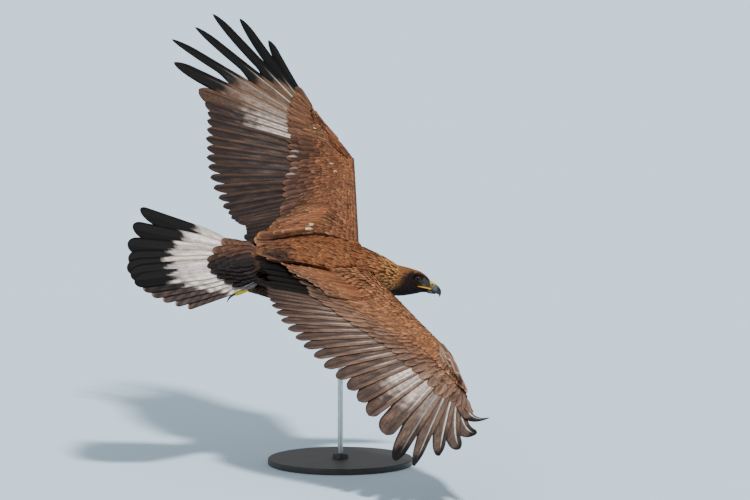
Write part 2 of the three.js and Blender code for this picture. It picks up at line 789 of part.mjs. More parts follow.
function tailBlock() {
  const first = TAIL_BLOCK[0][0];
  const last = TAIL_BLOCK[TAIL_BLOCK.length - 1][0];
  const rings = Array.from({ length: 6 }, (_, i) => {
    const far = first + ((last - first) * i) / 5;
    const [half, top, bottom] = keyed(TAIL_BLOCK, far);
    const ring = oval(vec([-far, 0, 0]), LEFT, UP, half, top, bottom, 16);
    return ring.map((p) => p.applyMatrix4(tailPlace));
  });
  return loft(rings);
}

// Frame of a feather of a row of the fan; i goes from its right edge to its left edge. The feather next
// to the middle lies on top, and from there each feather is rolled and sunk to lie under its inner
// neighbour.
function tailFrame(i, { count, start, end, rise, fan, step }) {
  const share = ((i + 0.5) / count) * 2 - 1;
  const middle = keyed(TAIL.azimuth, 0);
  const a = rad(middle + (keyed(TAIL.azimuth, share) - middle) * fan);
  const order = i - Math.floor((count - 1) / 2);
  const tilt = rad(SHINGLE) * Math.sign(order);
  const sunk = step * (order < 0 ? 1 - order : order);
  const outward = vec([-Math.sin(a), Math.cos(a), 0]);
  return (s) => {
    const far = start + (end - start) * s;
    const height = rise[0] + (rise[1] - rise[0]) * s - sunk;
    const point = vec([-Math.cos(a) * far, TAIL.half * share + Math.sin(a) * far, height]);
    const side = outward.clone().multiplyScalar(Math.cos(tilt)).addScaledVector(UP, Math.sin(tilt));
    const normal = UP.clone().multiplyScalar(Math.cos(tilt)).addScaledVector(outward, -Math.sin(tilt));
    return {
      point: point.applyMatrix4(tailPlace),
      side: side.transformDirection(tailPlace),
      normal: normal.transformDirection(tailPlace),
    };
  };
}

function tail() {
  const pieces = [tailBlock()];
  for (const row of TAIL_ROWS) {
    for (let i = 0; i < row.count; i++) {
      const share = ((i + 0.5) / row.count) * 2 - 1;
      const end = keyed(row.end, share) * (1 + 0.02 * vary(i + row.half));
      const at = tailFrame(i, { ...row, end });
      const width = (s) => Array(2).fill(row.half * roundTip(s, row.quill, row.tip));
      pieces.push(vane(at, width, row.stations));
    }
  }
  return fuse(pieces);
}

// Stand

const BASE = { radius: 190, height: 16, edge: 4, boss: 22, bossTop: 19, bossHeight: 12, sides: 32 };
const ROD = { radius: 7, sides: 16 };

function standBase() {
  const { radius, height, edge, boss, bossTop, bossHeight, sides } = BASE;
  const profile = [
    [0, 0],
    [radius, 0],
    [radius, height - edge],
    [radius - edge, height],
    [boss, height],
    [bossTop, height + bossHeight],
    [0, height + bossHeight],
  ];
  const lathe = new THREE.LatheGeometry(profile.map(([x, y]) => new THREE.Vector2(x, y)), sides);
  return solidOf(lathe).rotate([90, 0, 0]);
}

function standRod(bodyInWorld) {
  const foot = BASE.height + BASE.bossHeight + GAP;
  const rod = solidOf(new THREE.CylinderGeometry(ROD.radius, ROD.radius, BODY_HEIGHT - foot, ROD.sides));
  return largest(
    rod
      .rotate([90, 0, 0])
      .translate([0, 0, (BODY_HEIGHT + foot) / 2])
      .subtract(bodyInWorld),
  );
}

// Assembly

const group = new THREE.Group();
const bird = new THREE.Group();
const birdPlace = birdTurn.clone().setPosition(-BODY_BACK, 0, BODY_HEIGHT);
bird.applyMatrix4(birdPlace);
group.add(bird);

function addNode(parent, name, solid, color, roughness = 0.8) {
  const mesh = solid.getMesh();
  const geometry = new THREE.BufferGeometry();
  geometry.setAttribute("position", new THREE.BufferAttribute(mesh.vertProperties, 3));
  geometry.setIndex(new THREE.BufferAttribute(mesh.triVerts, 1));
  geometry.computeVertexNormals();
  const material = new THREE.MeshStandardMaterial({ color, roughness, metalness: 0 });
  const made = new THREE.Mesh(geometry, material);
  made.name = name;
  parent.add(made);
  return made;
}

const BROWN = 0x6b4527;
const DARK = 0x2b2420;
const GOLD = 0xb07a3c;
const YELLOW = 0xe0a91c;
const HORN = 0x2f3236;
const WHITE = 0xd8d2c6;
const STEEL = 0x9a9a9a;

const inHead = (solid) => solid.transform(headFrame.elements);
const pieces = headPieces();
const skull = inHead(pieces.skull);
const whole = fuse([bodyTube(), skull]);
const bodyRoom = bodyTube(GAP);

// Cuts between torso and neck, and between neck and head: a point and the direction towards the bill
const neckCut = { at: vec(NECK_START), ahead: vec([1, 0, 0]) };
const headCut = {
  at: vec(HEAD_START).applyMatrix4(headFrame),
  ahead: vec(HEAD_CUT_FACING).transformDirection(headFrame),
};
const beyond = (solid, { at, ahead }) => largest(solid.trimByPlane(ahead.toArray(), at.dot(ahead) + GAP / 2));
const before = (solid, { at, ahead }) => {
  const back = ahead.clone().negate();
  return largest(solid.trimByPlane(back.toArray(), at.dot(back) + GAP / 2));
};

addNode(bird, "torso", before(whole, neckCut), BROWN);
addNode(bird, "neck", before(fuse([beyond(whole, neckCut), ...hackles()]), headCut), GOLD);
addNode(bird, "head", beyond(whole, headCut), BROWN);
addNode(bird, "cere", inHead(pieces.cere), YELLOW, 0.5);
addNode(bird, "bill_upper", inHead(pieces.upper), HORN, 0.35);
addNode(bird, "bill_lower", inHead(pieces.lower), HORN, 0.35);
addNode(bird, "eye_left", inHead(pieces.eyes[0]), DARK, 0.1);
addNode(bird, "eye_right", inHead(pieces.eyes[1]), DARK, 0.1);
addNode(bird, "wing_left", largest(wing(POSES.left).subtract(bodyRoom)), BROWN);
addNode(bird, "wing_right", largest(wing(POSES.right).subtract(bodyRoom)), BROWN);
addNode(bird, "tail", largest(tail().subtract(bodyRoom)), WHITE);
for (const [name, side] of [["left", 1], ["right", -1]]) {
  const shank = leg(side);
  const toes = TOES.map((t) => toe(side, t));
  const foot = fuse(toes).subtract(leg(side, GAP));
  const footRoom = Manifold.union(TOES.map((t) => toe(side, t, GAP)));
  addNode(bird, `leg_${name}`, largest(shank.subtract(bodyRoom)), GOLD);
  addNode(bird, `foot_${name}`, largest(foot), YELLOW, 0.5);
  TOES.forEach((t, i) => {
    const nail = largest(claw(side, t).subtract(footRoom));
    addNode(bird, `claw_${name}_${i + 1}`, nail, HORN, 0.3);
  });
}
addNode(group, "stand_base", standBase(), DARK, 0.5);
addNode(group, "stand_rod", standRod(bodyRoom.transform(birdPlace.elements)), STEEL, 0.3);

export default group;
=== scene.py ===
import math

import bpy
import numpy as np
from mathutils import Matrix, Vector
from mathutils.bvhtree import BVHTree
from mathutils.kdtree import KDTree


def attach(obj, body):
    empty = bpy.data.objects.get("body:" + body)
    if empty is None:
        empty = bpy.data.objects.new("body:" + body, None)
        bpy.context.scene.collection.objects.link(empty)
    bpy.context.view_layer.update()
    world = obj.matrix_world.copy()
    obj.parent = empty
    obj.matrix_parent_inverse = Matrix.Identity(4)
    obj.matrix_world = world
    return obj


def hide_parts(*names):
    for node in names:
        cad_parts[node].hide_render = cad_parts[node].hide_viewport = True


# A young golden eagle in a banked glide on a plain display stand. Shapes are worked out in
# millimetres in the bird's own frame (x forward, y left, z up) and put into the model's frame at the end.

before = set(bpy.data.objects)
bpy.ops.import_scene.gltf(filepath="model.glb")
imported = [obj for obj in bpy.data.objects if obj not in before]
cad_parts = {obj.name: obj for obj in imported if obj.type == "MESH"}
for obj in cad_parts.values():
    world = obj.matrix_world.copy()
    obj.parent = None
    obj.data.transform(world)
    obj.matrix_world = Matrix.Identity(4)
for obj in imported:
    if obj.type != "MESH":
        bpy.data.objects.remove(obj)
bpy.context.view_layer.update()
rng = np.random.default_rng(11)

# Sizes shared with the solids

BODY_HEIGHT, BODY_BACK = 530, 62
BANK, PITCH = 30, 7
HEAD_YAW, HEAD_PITCH = -21, 10
HEAD_AT = np.array((278.5, -18, -5))
SHINGLE, HAND_SHINGLE = 5, 6  # degrees that each feather is tilted
STACK = 2  # from one finger feather down to the next
SECONDARIES, INNERMOST, HAND_END = 14, -18, 10  # places along the span, which is 0 at the wrist
REMEX_LENGTH = [
    (-18, 192), (-15, 214), (-12, 290), (-7, 344), (-0.5, 375), (1.5, 378), (3.5, 410), (5, 540),
    (6.5, 530), (8, 514), (9.5, 334),
]
POSES = {
    "left": {
        "side": 1, "wrist": (153, 390, 70), "hand": (111, 560, 88), "elbow": (70, 190, 48),
        "inner": (-4, 85, 34), "front": (122, 52, 26), "lead": 34,
        "azimuth": [(-18, -6), (-10, -14), (-4, 10), (0, 25), (2.5, 33), (4, 41), (5.5, 52), (7, 66),
                    (8.5, 76), (9.5, 81)],
        "elevation": [(-18, -5), (-8, -5.2), (0, -2.8), (4, -1.5), (7, 0), (9.5, 1.6)],
        "bend": [(-18, -0.05), (-8, -0.05), (0, -0.043), (4, -0.045), (7, -0.01), (9.5, 0.04)],
    },
    "right": {
        "side": -1, "wrist": (226, 373, 23), "hand": (254, 548, 22), "elbow": (60, 211, 32),
        "inner": (-4, 82, 23), "front": (132, 50, 16), "lead": 24,
        "azimuth": [(-18, -9), (-10, -7), (-4, 13), (0, 31), (2.5, 42), (4, 54), (5.5, 61), (7, 66.5),
                    (8.5, 70), (9.5, 74)],
        "elevation": [(-18, 5), (-8, 4.3), (0, 4), (4, 2), (7, 5), (9.5, 7.5)],
        "bend": [(-18, -0.048), (-8, -0.048), (0, -0.037), (4, -0.04), (7, 0.17), (9.5, 0.36)],
    },
}
CORE_TOP = [(-18, 24), (-13, 22), (-6, 18), (0, 17), (5, 14), (10, 9)]
CORE_UNDER = [(-18, 24), (-13, 18), (-6, 14), (0, 13), (5, 11), (10, 8)]
CORE_BACK = [(-18, 66), (-10, 58), (0, 46), (5, 38), (10, 26)]
CORE_EDGE = 2.4
BODY = [  # centre, half width, height and depth
    (-168, (-168, -11, 0, 47, 24, 28)), (-140, (-140, -6, 1, 55, 32, 40)), (-100, (-100, -2, 0, 63, 42, 54)),
    (-50, (-50, 0, -2, 70, 52, 70)), (10, (10, 0, -2, 80, 56, 84)), (70, (70, 0, -2, 84, 54, 84)),
    (115, (115, 0, 0, 72, 50, 70)), (150, (149, -1, -3, 58, 47, 56)), (185, (182, -2, -12, 48, 43, 47)),
    (218, (214, -4, -23, 41, 38, 39)), (246, (240, -11, -24, 36, 33, 34)),
]
BODY_START, BODY_END = BODY[0][0], BODY[-1][0]
HEAD = [  # half width, height and depth
    (-64, (37, 24, 58)), (-40, (36, 23, 56)), (-20, (33, 21, 50)), (0, (29, 18, 43)), (14, (24, 12.5, 37)),
    (25, (18, 5.5, 35)), (33, (13.6, -1.6, 34.5)),
]
HEAD_START, HEAD_END = HEAD[0][0], HEAD[-1][0]
THIGH = [  # centre and radius, from hip to ankle
    ((30, 44, -58), 26), ((-20, 44, -67), 30), ((-70, 43, -73), 25), ((-112, 41, -73), 17),
    ((-150, 39, -71), 12.5), ((-184, 37, -68), 10.5),
]
LEG_LONG = 216  # millimetres along it
TAIL_ROLL, TAIL_ROOT, TAIL_HALF = 15, (-164, -16, -5), 46
TAIL_AZIMUTH = [(-1, -27), (-0.5, -19), (0, -12), (0.5, -3), (1, 23)]
RECTRIX_END = [(-1, 231), (-0.5, 327), (0, 375), (0.5, 360), (1, 307)]
TAIL_BLOCK = [(4.4, (46, 21, 25)), (26, (45, 16, 20)), (50, (40, 10, 15)), (72, (30, 5, 10))]
BLOCK_END = TAIL_BLOCK[-1][0]
SIDES = ((1, "left"), (-1, "right"))

# Small helpers


def tone(r, g, b, depth=1.14):
    """An sRGB colour out of 255 as linear light, deepened a little, since the light of the scene pales it."""
    c = np.array([r, g, b], float) / 255
    c = np.where(c <= 0.04045, c / 12.92, ((c + 0.055) / 1.055) ** 2.4)
    grey = c @ [0.3, 0.6, 0.1]
    return np.maximum(grey + (c - grey) * depth, 0.002)


WORN = tone(184, 136, 102)
BLACK = tone(10, 9, 9)
WHITE = tone(228, 220, 212)
CREAM = tone(214, 190, 160)


def unit(v):
    return v / np.maximum(np.linalg.norm(v, axis=-1, keepdims=True), 1e-9)


def clip(x):
    return np.clip(x, 0, 1)


def smooth(x):
    x = clip(x)
    return x * x * (3 - 2 * x)


def bell(x, width):
    return np.exp(-(x / width) ** 2)


def mix(a, b, share):
    return a + (b - a) * np.asarray(share)[..., None]


def keyed(keys, t):
    """Smooth value at t, a number or an array, through (t, value) keys."""
    at = np.array([k for k, _ in keys], float)
    values = np.array([v for _, v in keys], float)
    flat = values.ndim == 1
    if flat:
        values = values[:, None]
    t = np.clip(np.asarray(t, float), at[0], at[-1])
    i = np.clip(np.searchsorted(at, t, side="right") - 1, 0, len(at) - 2)
    order = np.arange(len(at))
    before, after = np.maximum(order - 1, 0), np.minimum(order + 1, len(at) - 1)
    slope = (values[after] - values[before]) / (at[after] - at[before])[:, None]
    h = at[i + 1] - at[i]
    s = (t - at[i]) / h
    s2, s3 = s * s, s * s * s
    out = (
        values[i] * (2 * s3 - 3 * s2 + 1)[..., None]
        + slope[i] * (h * (s3 - 2 * s2 + s))[..., None]
        + values[i + 1] * (3 * s2 - 2 * s3)[..., None]
        + slope[i + 1] * (h * (s3 - s2))[..., None]
    )
    return out[..., 0] if flat else out


def grid(down, across):
    return np.meshgrid(down, across, indexing="ij")


def circle(count):
    return np.arange(count) * 2 * np.pi / count


def turned(*turns):
    """The matrix of turns, each in degrees about a named axis."""
    made = Matrix.Identity(3)
    for degrees, axis in turns:
        made = made @ Matrix.Rotation(math.radians(degrees), 3, axis)
    return np.array(made)


bird_turn = turned((PITCH, "Y"), (BANK, "X"))
bird_at = np.array([-BODY_BACK, 0, BODY_HEIGHT], float)
head_turn = bird_turn.T @ turned((HEAD_YAW, "Z"), (HEAD_PITCH, "Y"))
tail_turn = turned((TAIL_ROLL, "X"))


def to_world(points):
    """Points of the bird's frame in millimetres to the model's frame in metres."""
    return (np.asarray(points) @ bird_turn.T + bird_at) / 1000


def from_head(points):
    return np.asarray(points) @ head_turn.T + HEAD_AT


def from_tail(points):
    return np.asarray(points) @ tail_turn.T + np.array(TAIL_ROOT)


# Meshes

PATCH = 0.003  # a feather's size on the skin's map
SEEDS = []  # each feather's root and mean tone, for the skin below it


def add_piece(name, mesh, material, slot):
    """A piece that rides on the model's one body."""
    mesh.materials.append(material)
    piece = bpy.data.objects.new(name, mesh)
    bpy.context.scene.collection.objects.link(piece)
    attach(piece, "root")
    return piece


def new_object(name, points, faces, slot, material, shaded=True):
    """A piece from world points and faces."""
    mesh = bpy.data.meshes.new(name)
    mesh.from_pydata(np.asarray(points).tolist(), [], faces)
    mesh.update()
    if shaded:
        mesh.shade_smooth()
    return add_piece(name, mesh, material, slot)


def paint(mesh, colours):
    attribute = mesh.color_attributes.new(name="Plumage", type="FLOAT_COLOR", domain="POINT")
    full = np.concatenate([colours, np.ones((len(colours), 1))], 1)
    attribute.data.foreach_set("color", full.astype(np.float32).ravel())


def loft(rings):
    """Points and faces of a closed form through rings, an array (rings, points, 3)."""
    m, n = rings.shape[:2]
    faces = []
    for i in range(m - 1):
        for j in range(n):
            a, b = i * n + j, i * n + (j + 1) % n
            faces.append((a, b, b + n, a + n))
    faces.append(tuple(range(n))[::-1])
    faces.append(tuple(range((m - 1) * n, m * n)))
    return rings.reshape(-1, 3), faces


def joined(parts):
    """One list of points and faces from several."""
    points, faces, first = [], [], 0
    for p, f in parts:
        points.append(p)
        faces += [tuple(i + first for i in face) for face in f]
        first += len(p)
    return np.concatenate(points), faces


class Batch:
    """Feathers gathered for one piece: each is a closed vane of rings."""

    def __init__(self):
        self.points, self.faces, self.colours, self.spots, self.barbs, self.first = [], [], [], [], [], 0

    def add(self, line, side, normal, inner, outer, thick, camber, colour, spot, across, s, ridge=0.0):
        """line, side and normal are (n, m, 3); inner, outer, thick and camber (n, m) in millimetres.
        colour(s, x) gives (n, m, ring, 3); spot is (n, 2), the root's place on the skin's map."""
        n, m = line.shape[:2]
        top = np.linspace(-1, 1, across)
        if across > 5:
            top = np.sign(top) * np.abs(top) ** 1.35
        x = np.concatenate([top, top[-2:0:-1]])
        ring = len(x)
        face = np.where(np.arange(ring) < across, 1, -1)
        wide = np.where(x < 0, inner[..., None], outer[..., None])
        height = (1 - x * x) * camber[..., None] + thick[..., None] / 2 * (1 - 0.75 * x * x) * face
        height = height + ridge * 0.5 * (1 - s)[:, None] * bell(x, 0.1) * face
        points = line[:, :, None] + side[:, :, None] * (wide * x)[..., None]
        points = points + normal[:, :, None] * height[..., None]
        self.points.append(to_world(points.reshape(-1, 3)))
        s, x = np.broadcast_arrays(s[:, None], x, np.empty((n, m, ring)))[:2]
        tones = clip(colour(s, x))
        self.colours.append(tones.reshape(-1, 3))
        SEEDS.append((to_world(line[:, 0]), tones.mean((1, 2))))
        self.spots.append((spot[:, None, None] + PATCH * np.stack([x * 0.5, s - 0.5], -1)).reshape(-1, 2))
        steps = np.linalg.norm(np.diff(line, axis=1, prepend=line[:, :1]), axis=-1)
        run = np.broadcast_to(np.cumsum(steps, 1)[:, :, None], (n, m, ring))
        self.barbs.append(np.stack([wide * x, run], -1).reshape(-1, 2))
        i = np.arange(m - 1)[:, None] * ring
        j = np.arange(ring)
        beside = (j + 1) % ring
        quads = np.stack([i + j, i + beside, i + beside + ring, i + j + ring], -1).reshape(-1, 4)
        ends = np.stack([j[::-1], (m - 1) * ring + j])
        start = self.first + np.arange(n)[:, None, None] * m * ring
        self.faces += [(start + quads).reshape(-1, 4), (start + ends).reshape(-1, ring)]
        self.first += n * m * ring

    def build(self, name, material, slot):
        sizes = np.concatenate([np.full(len(f), f.shape[1]) for f in self.faces])
        corners = np.concatenate([f.ravel() for f in self.faces])
        starts = np.concatenate([[0], np.cumsum(sizes)[:-1]])
        mesh = bpy.data.meshes.new(name)
        mesh.vertices.add(self.first)
        mesh.vertices.foreach_set("co", np.concatenate(self.points).astype(np.float32).ravel())
        mesh.loops.add(len(corners))
        mesh.loops.foreach_set("vertex_index", corners.astype(np.int32))
        mesh.polygons.add(len(sizes))
        mesh.polygons.foreach_set("loop_start", starts.astype(np.int32))
        mesh.polygons.foreach_set("use_smooth", np.ones(len(sizes), bool))
        mesh.update(calc_edges=True)
        paint(mesh, np.concatenate(self.colours))
        for layer, places in (("OFBake", self.spots), ("Barbs", self.barbs)):
            places = np.concatenate(places)[corners].astype(np.float32)
            mesh.uv_layers.new(name=layer).uv.foreach_set("vector", places.ravel())
        return add_piece(name, mesh, material, slot)


# Materials

BARB_PITCH, BARB_LEAN = 1.1, 0.9  # millimetres from barb to barb, and how far they slant
STREAK_ACROSS, STREAK_ALONG = 0.32, 0.022  # streaks to a millimetre
OWN_STREAKS = (310, 170, 0)  # sets the streaks of neighbouring feathers apart
GRAIN_SCALE, DOWN_SCALE = 160, 900
FEATHER_RELIEF, PLAIN_RELIEF = 0.0004, 0.0005


def feed(tree, made, inputs):
    """Sets a node's inputs to values, or links them to other nodes' outputs."""
    for key, value in inputs.items():
        if isinstance(value, bpy.types.NodeSocket):
            tree.links.new(value, made.inputs[key])
        else:
            made.inputs[key].default_value = value


def node(tree, kind, inputs=None, **settings):
    made = tree.nodes.new("ShaderNode" + kind)
    for key, value in settings.items():
        setattr(made, key, value)
    feed(tree, made, inputs or {})
    return made.outputs


def maths(tree, operation, *values):
    return node(tree, "Math", dict(enumerate(values)), operation=operation)["Value"]


def noise(tree, place, scale, detail, rough=0.5):
    inputs = {"Vector": place, "Scale": scale, "Detail": detail, "Roughness": rough}
    return node(tree, "TexNoise", inputs)["Fac"]


def uneven(tree, colour, grain, low, high):
    """The colour, darker or lighter by a noise."""
    span = {"Value": grain, "From Min": 0.3, "From Max": 0.7, "To Min": low, "To Max": high}
    shade = node(tree, "MapRange", span)["Result"]
    return node(tree, "VectorMath", {0: colour, "Scale": shade}, operation="SCALE")["Vector"]


def streaked(tree, colour, fine):
    """The colour with fine uneven streaks that run along each feather, different on every one."""
    run = node(tree, "UVMap", uv_map="Barbs")["UV"]
    own = node(tree, "UVMap", uv_map="OFBake")["UV"]
    stretch = {0: run, 1: (STREAK_ACROSS * fine, STREAK_ALONG * fine, 0)}
    long = node(tree, "VectorMath", stretch, operation="MULTIPLY")["Vector"]
    apart = node(tree, "VectorMath", {0: own, 1: OWN_STREAKS}, operation="DOT_PRODUCT")["Value"]
    deep = node(tree, "CombineXYZ", {"Z": apart})["Vector"]
    place = node(tree, "VectorMath", {0: long, 1: deep}, operation="ADD")["Vector"]
    return uneven(tree, colour, noise(tree, place, 1, 3, 0.65), 0.5, 1.45)


def barb_height(tree):
    """Fine ridges that slant back from the shaft."""
    split = node(tree, "SeparateXYZ", {"Vector": node(tree, "UVMap", uv_map="Barbs")["UV"]})
    lean = maths(tree, "MULTIPLY", maths(tree, "ABSOLUTE", split["X"]), BARB_LEAN)
    row = maths(tree, "SUBTRACT", split["Y"], lean)
    return maths(tree, "SINE", maths(tree, "MULTIPLY", row, 2 * math.pi / BARB_PITCH))


def surface(name, colour, height, depth, bump, **values):
    """A material; colour and height are functions of its node tree and the place on the piece."""
    made = bpy.data.materials.new(name)
    made.use_nodes = True
    tree = made.node_tree
    place = node(tree, "TexCoord")["Object"]
    relief = {"Strength": bump, "Distance": depth, "Height": height(tree, place)}
    feed(tree, tree.nodes["Principled BSDF"], {"Base Color": colour(tree, place), **values,
                                               "Normal": node(tree, "Bump", relief)["Normal"]})
    return made


def plumage(name, rough, bump, gloss=0.12, barbs=False, streaks=0.0):
    """Painted markings in a fine uneven tone, with barbs or down as relief."""
    def colour(tree, place):
        painted = node(tree, "Attribute", attribute_name="Plumage")["Color"]
        painted = uneven(tree, painted, noise(tree, place, GRAIN_SCALE, 4, 0.6), 0.78, 1.2)
        return streaked(tree, painted, streaks) if streaks else painted

    def height(tree, place):
        return barb_height(tree) if barbs else noise(tree, place, DOWN_SCALE, 3)

    look = {"Roughness": rough, "Specular IOR Level": gloss}
    return surface(name, colour, height, FEATHER_RELIEF, bump, **look)


def mottled(name, light, dark, scale, rough, bump, metal=0.0):
    """A plain surface with uneven tone between two colours and a fine grain."""
    def colour(tree, place):
        ramp = tree.nodes.new("ShaderNodeValToRGB")
        for stop, at, shade in zip(ramp.color_ramp.elements, (0.32, 0.68), (dark, light)):
            stop.position = at
            stop.color = (*shade, 1)
        feed(tree, ramp, {"Fac": noise(tree, place, scale, 5, 0.6)})
        return ramp.outputs["Color"]

    def height(tree, place):
        return noise(tree, place, scale * 5, 4)

    return surface(name, colour, height, PLAIN_RELIEF, bump, Roughness=rough, Metallic=metal)


COAT = plumage("coat", 0.8, 0.35, streaks=2.0)
VANE = plumage("vane", 0.55, 0.3, barbs=True, streaks=1.0)
SKIN = plumage("skin", 0.85, 0.3)
HORN = plumage("horn", 0.28, 0.06, 0.5)
WAX = plumage("cere_skin", 0.45, 0.2, 0.3)
EYE = plumage("eye", 0.05, 0.0, 0.22)
SCALE = plumage("foot_skin", 0.5, 0.3, 0.3)
STEEL = mottled("steel", (0.5, 0.5, 0.5), (0.38, 0.38, 0.39), 60, 0.3, 0.05, metal=1.0)
PLATE = mottled("plate", (0.035, 0.034, 0.034), (0.022, 0.021, 0.021), 30, 0.5, 0.1)
GROUND = mottled("floor", (0.67, 0.86, 1.0), (0.66, 0.85, 0.99), 0.4, 0.95, 0.02)

# Wings

INWARD, DROP = 12, 2.8  # steps of the sheet for each place that lies inside the body
SHEET_AZIMUTH = 40  # degrees up to which the sheet's tilt follows the feathers


def shingle(k):
    return SHINGLE + (HAND_SHINGLE - SHINGLE) * smooth((k - 3) / 3)


class Wing:
    """Places on a wing by wing coordinates: k along the span, q back from the bones, h over the sheet."""

    def __init__(self, name):
        pose = POSES[name]
        self.name, self.side, self.pose, self.left = name, pose["side"], pose, name == "left"
        flip = np.array([1, self.side, 1])
        places = (INNERMOST, "inner"), (-SECONDARIES + 0.5, "elbow"), (0, "wrist"), (HAND_END, "hand")
        self.bones = [(k, pose[at] * flip) for k, at in places]
        self.front_root = pose["front"] * flip
        self.wrist_front = self.root(0) - self.aim(0) * pose["lead"] + np.array([0, self.side * 6, 0])

    def root(self, k):
        return keyed(self.bones, k)

    def direction(self, azimuth, elevation):
        a, e = np.radians(azimuth), np.radians(elevation)
        return np.stack([-np.cos(a) * np.cos(e), self.side * np.sin(a) * np.cos(e), np.sin(e)], -1)

    def aim(self, k):
        return self.direction(keyed(self.pose["azimuth"], k), keyed(self.pose["elevation"], k))

    def up(self, k):
        span = self.root(k + 0.5) - self.root(k - 0.5)
        azimuth = np.minimum(keyed(self.pose["azimuth"], k), SHEET_AZIMUTH)
        back = self.direction(azimuth, keyed(self.pose["elevation"], k))
        return unit(np.cross(span, back) * self.side)

    def front(self, k):
        k = np.asarray(k, float)
        hand = self.root(k) + self.aim(k) * (-24 + 12 * smooth(k / HAND_END))[..., None]
        hand = mix(hand, self.wrist_front, 1 - smooth(k / 3))
        arm = mix(self.front_root, self.wrist_front, np.maximum(1 - k / INNERMOST, 0))
        return np.where((k > 0)[..., None], hand, arm)

    def reach(self, k):
        return np.linalg.norm(self.front(k) - self.root(k), axis=-1)

    def place(self, k, q, h):
        k, q, h = np.broadcast_arrays(np.asarray(k, float), q, h)
        base, up, front = self.root(k), self.up(k), self.front(k)
        ahead = base + (front - base) * (-q / self.reach(k))[..., None] + up * h[..., None]
        lift = keyed(self.pose["bend"], k) * q * q / keyed(REMEX_LENGTH, k)
        behind = base + self.aim(k) * q[..., None] + up * (h + lift)[..., None]
        inside = np.minimum(k - INNERMOST, 0)[..., None] * np.array([0, INWARD * self.side, DROP])
        return np.where((q < 0)[..., None], ahead, behind) + inside

    def flesh(self, k, q, top=True):
        """Height of the flesh over (or under) the sheet at q."""
        reach = self.reach(k)
        v = clip((q + reach) / (reach + keyed(CORE_BACK, k)))
        crown = keyed(CORE_TOP if top else CORE_UNDER, k)
        return CORE_EDGE * v + crown * np.minimum(1, 2.5 * np.sqrt(v) * (1 - v) ** 1.1)

    def axes(self, k, q, h, roll, under=False):
        """Line, side and normal of feathers at k (n,) through q and h (n, m), rolled by degrees."""
        kk = k[:, None] + 0 * q
        line = self.place(kk, q, h)
        ahead = unit(np.gradient(line, axis=1))
        across = self.place(kk + 0.5, q, h) - self.place(kk - 0.5, q, h)
        steady = 6 * smooth((kk - 5) / 3) * (1 - smooth(q / 120))
        normal = unit(np.cross(across, ahead) * self.side + self.up(kk) * steady[..., None])
        side = unit(np.cross(ahead, normal) * self.side)
        if under:
            normal = -normal
        turn = np.radians(roll)[:, None, None] * (-1 if under else 1)
        return line, side * np.cos(turn) + normal * np.sin(turn), normal * np.cos(turn) - side * np.sin(turn)


WINGS = {name: Wing(name) for name in POSES}

# The surfaces of body, head, legs and tail


def body_section(u):
    """Centre, directions across and up, half width, height and depth."""
    values = keyed(BODY, u)
    ahead, behind = keyed(BODY, np.minimum(u + 4, BODY_END)), keyed(BODY, np.maximum(u - 4, BODY_START))
    along = unit(ahead[..., :3] - behind[..., :3])
    across = unit(np.cross([0.0, 0, 1], along))
    return values[..., :3], across, np.cross(along, across), values[..., 3], values[..., 4], values[..., 5]


def body_point(u, turn, out):
    """A point out from the body's outline, turned from its top to the left by degrees."""
    centre, across, upward, half, top, bottom = body_section(np.asarray(u, float))
    a = np.radians(turn)
    high = np.where(np.cos(a) > 0, top, bottom)
    rx, rz = np.sin(a) / half, np.cos(a) / high
    size = np.hypot(rx, rz)
    x = half * np.sin(a) + out * rx / size
    z = high * np.cos(a) + out * rz / size
    return centre + across * x[..., None] + upward * z[..., None]


def head_point(x, turn, out):
    """The same on the head, by x in its own frame."""
    half, top, bottom = np.moveaxis(keyed(HEAD, x), -1, 0)
    a = np.radians(turn)
    middle, high = (top - bottom) / 2, (top + bottom) / 2
    y = (half + out) * np.sin(a)
    z = middle + (high + out) * np.cos(a)
    return from_head(np.stack([x + 0 * y, y, z], -1))


BROW_AT, BROW_RADII, BROW_SKIN = (1, 23.5, 9.6), (16.5, 5.6, 3.8), 1.2


def brow(side):
    """The bony ridge over an eye, under its skin."""
    lat, lon = grid(np.linspace(0.08, np.pi - 0.08, 24), circle(24))
    radii = np.array(BROW_RADII) - BROW_SKIN
    p = np.stack([np.cos(lat), np.sin(lat) * np.cos(lon), np.sin(lat) * np.sin(lon)], -1) * radii
    return from_head(p @ turned((-8 * side, "Z"), (14, "Y")).T + np.array(BROW_AT) * [1, side, 1])


def leg_point(t, turn, out, side):
    """A point out from a leg's outline, t from hip to ankle."""
    stations = zip(np.linspace(0, 1, len(THIGH)), THIGH)
    keys = [(at, (*np.multiply(p, [1, side, 1]), r)) for at, (p, r) in stations]
    values = keyed(keys, t)
    along = unit((keyed(keys, np.minimum(t + 0.02, 1)) - keyed(keys, np.maximum(t - 0.02, 0)))[..., :3])
    across = unit(np.cross([0.0, 0, 1], along))
    a, r = np.radians(turn), values[..., 3]
    sideways, upward = (r * 0.94 + out) * np.sin(a), (r + out) * np.cos(a)
    return values[..., :3] + across * sideways[..., None] + np.cross(along, across) * upward[..., None]


# The skin

BODY_COAT = 8  # millimetres that the skin lies below the body's outline, under its feathers
HEAD_COAT = 2.6
LEG_COAT = 6
WING_COAT = 3
TAIL_COAT = 4
VOXEL = 0.0026  # metres


def tail_block():
    far = np.linspace(-6, BLOCK_END, 12)
    half, top, bottom = np.moveaxis(keyed(TAIL_BLOCK, far), -1, 0)
    a = np.radians(np.arange(24) * 15)
    s = np.sin(a)
    y = np.outer(half - TAIL_COAT, np.cos(a))
    up = np.where(s > 0, np.outer(top - TAIL_COAT, s), np.outer(bottom - TAIL_COAT, s))
    return from_tail(np.stack([-far[:, None] + 0 * y, y, up], -1))


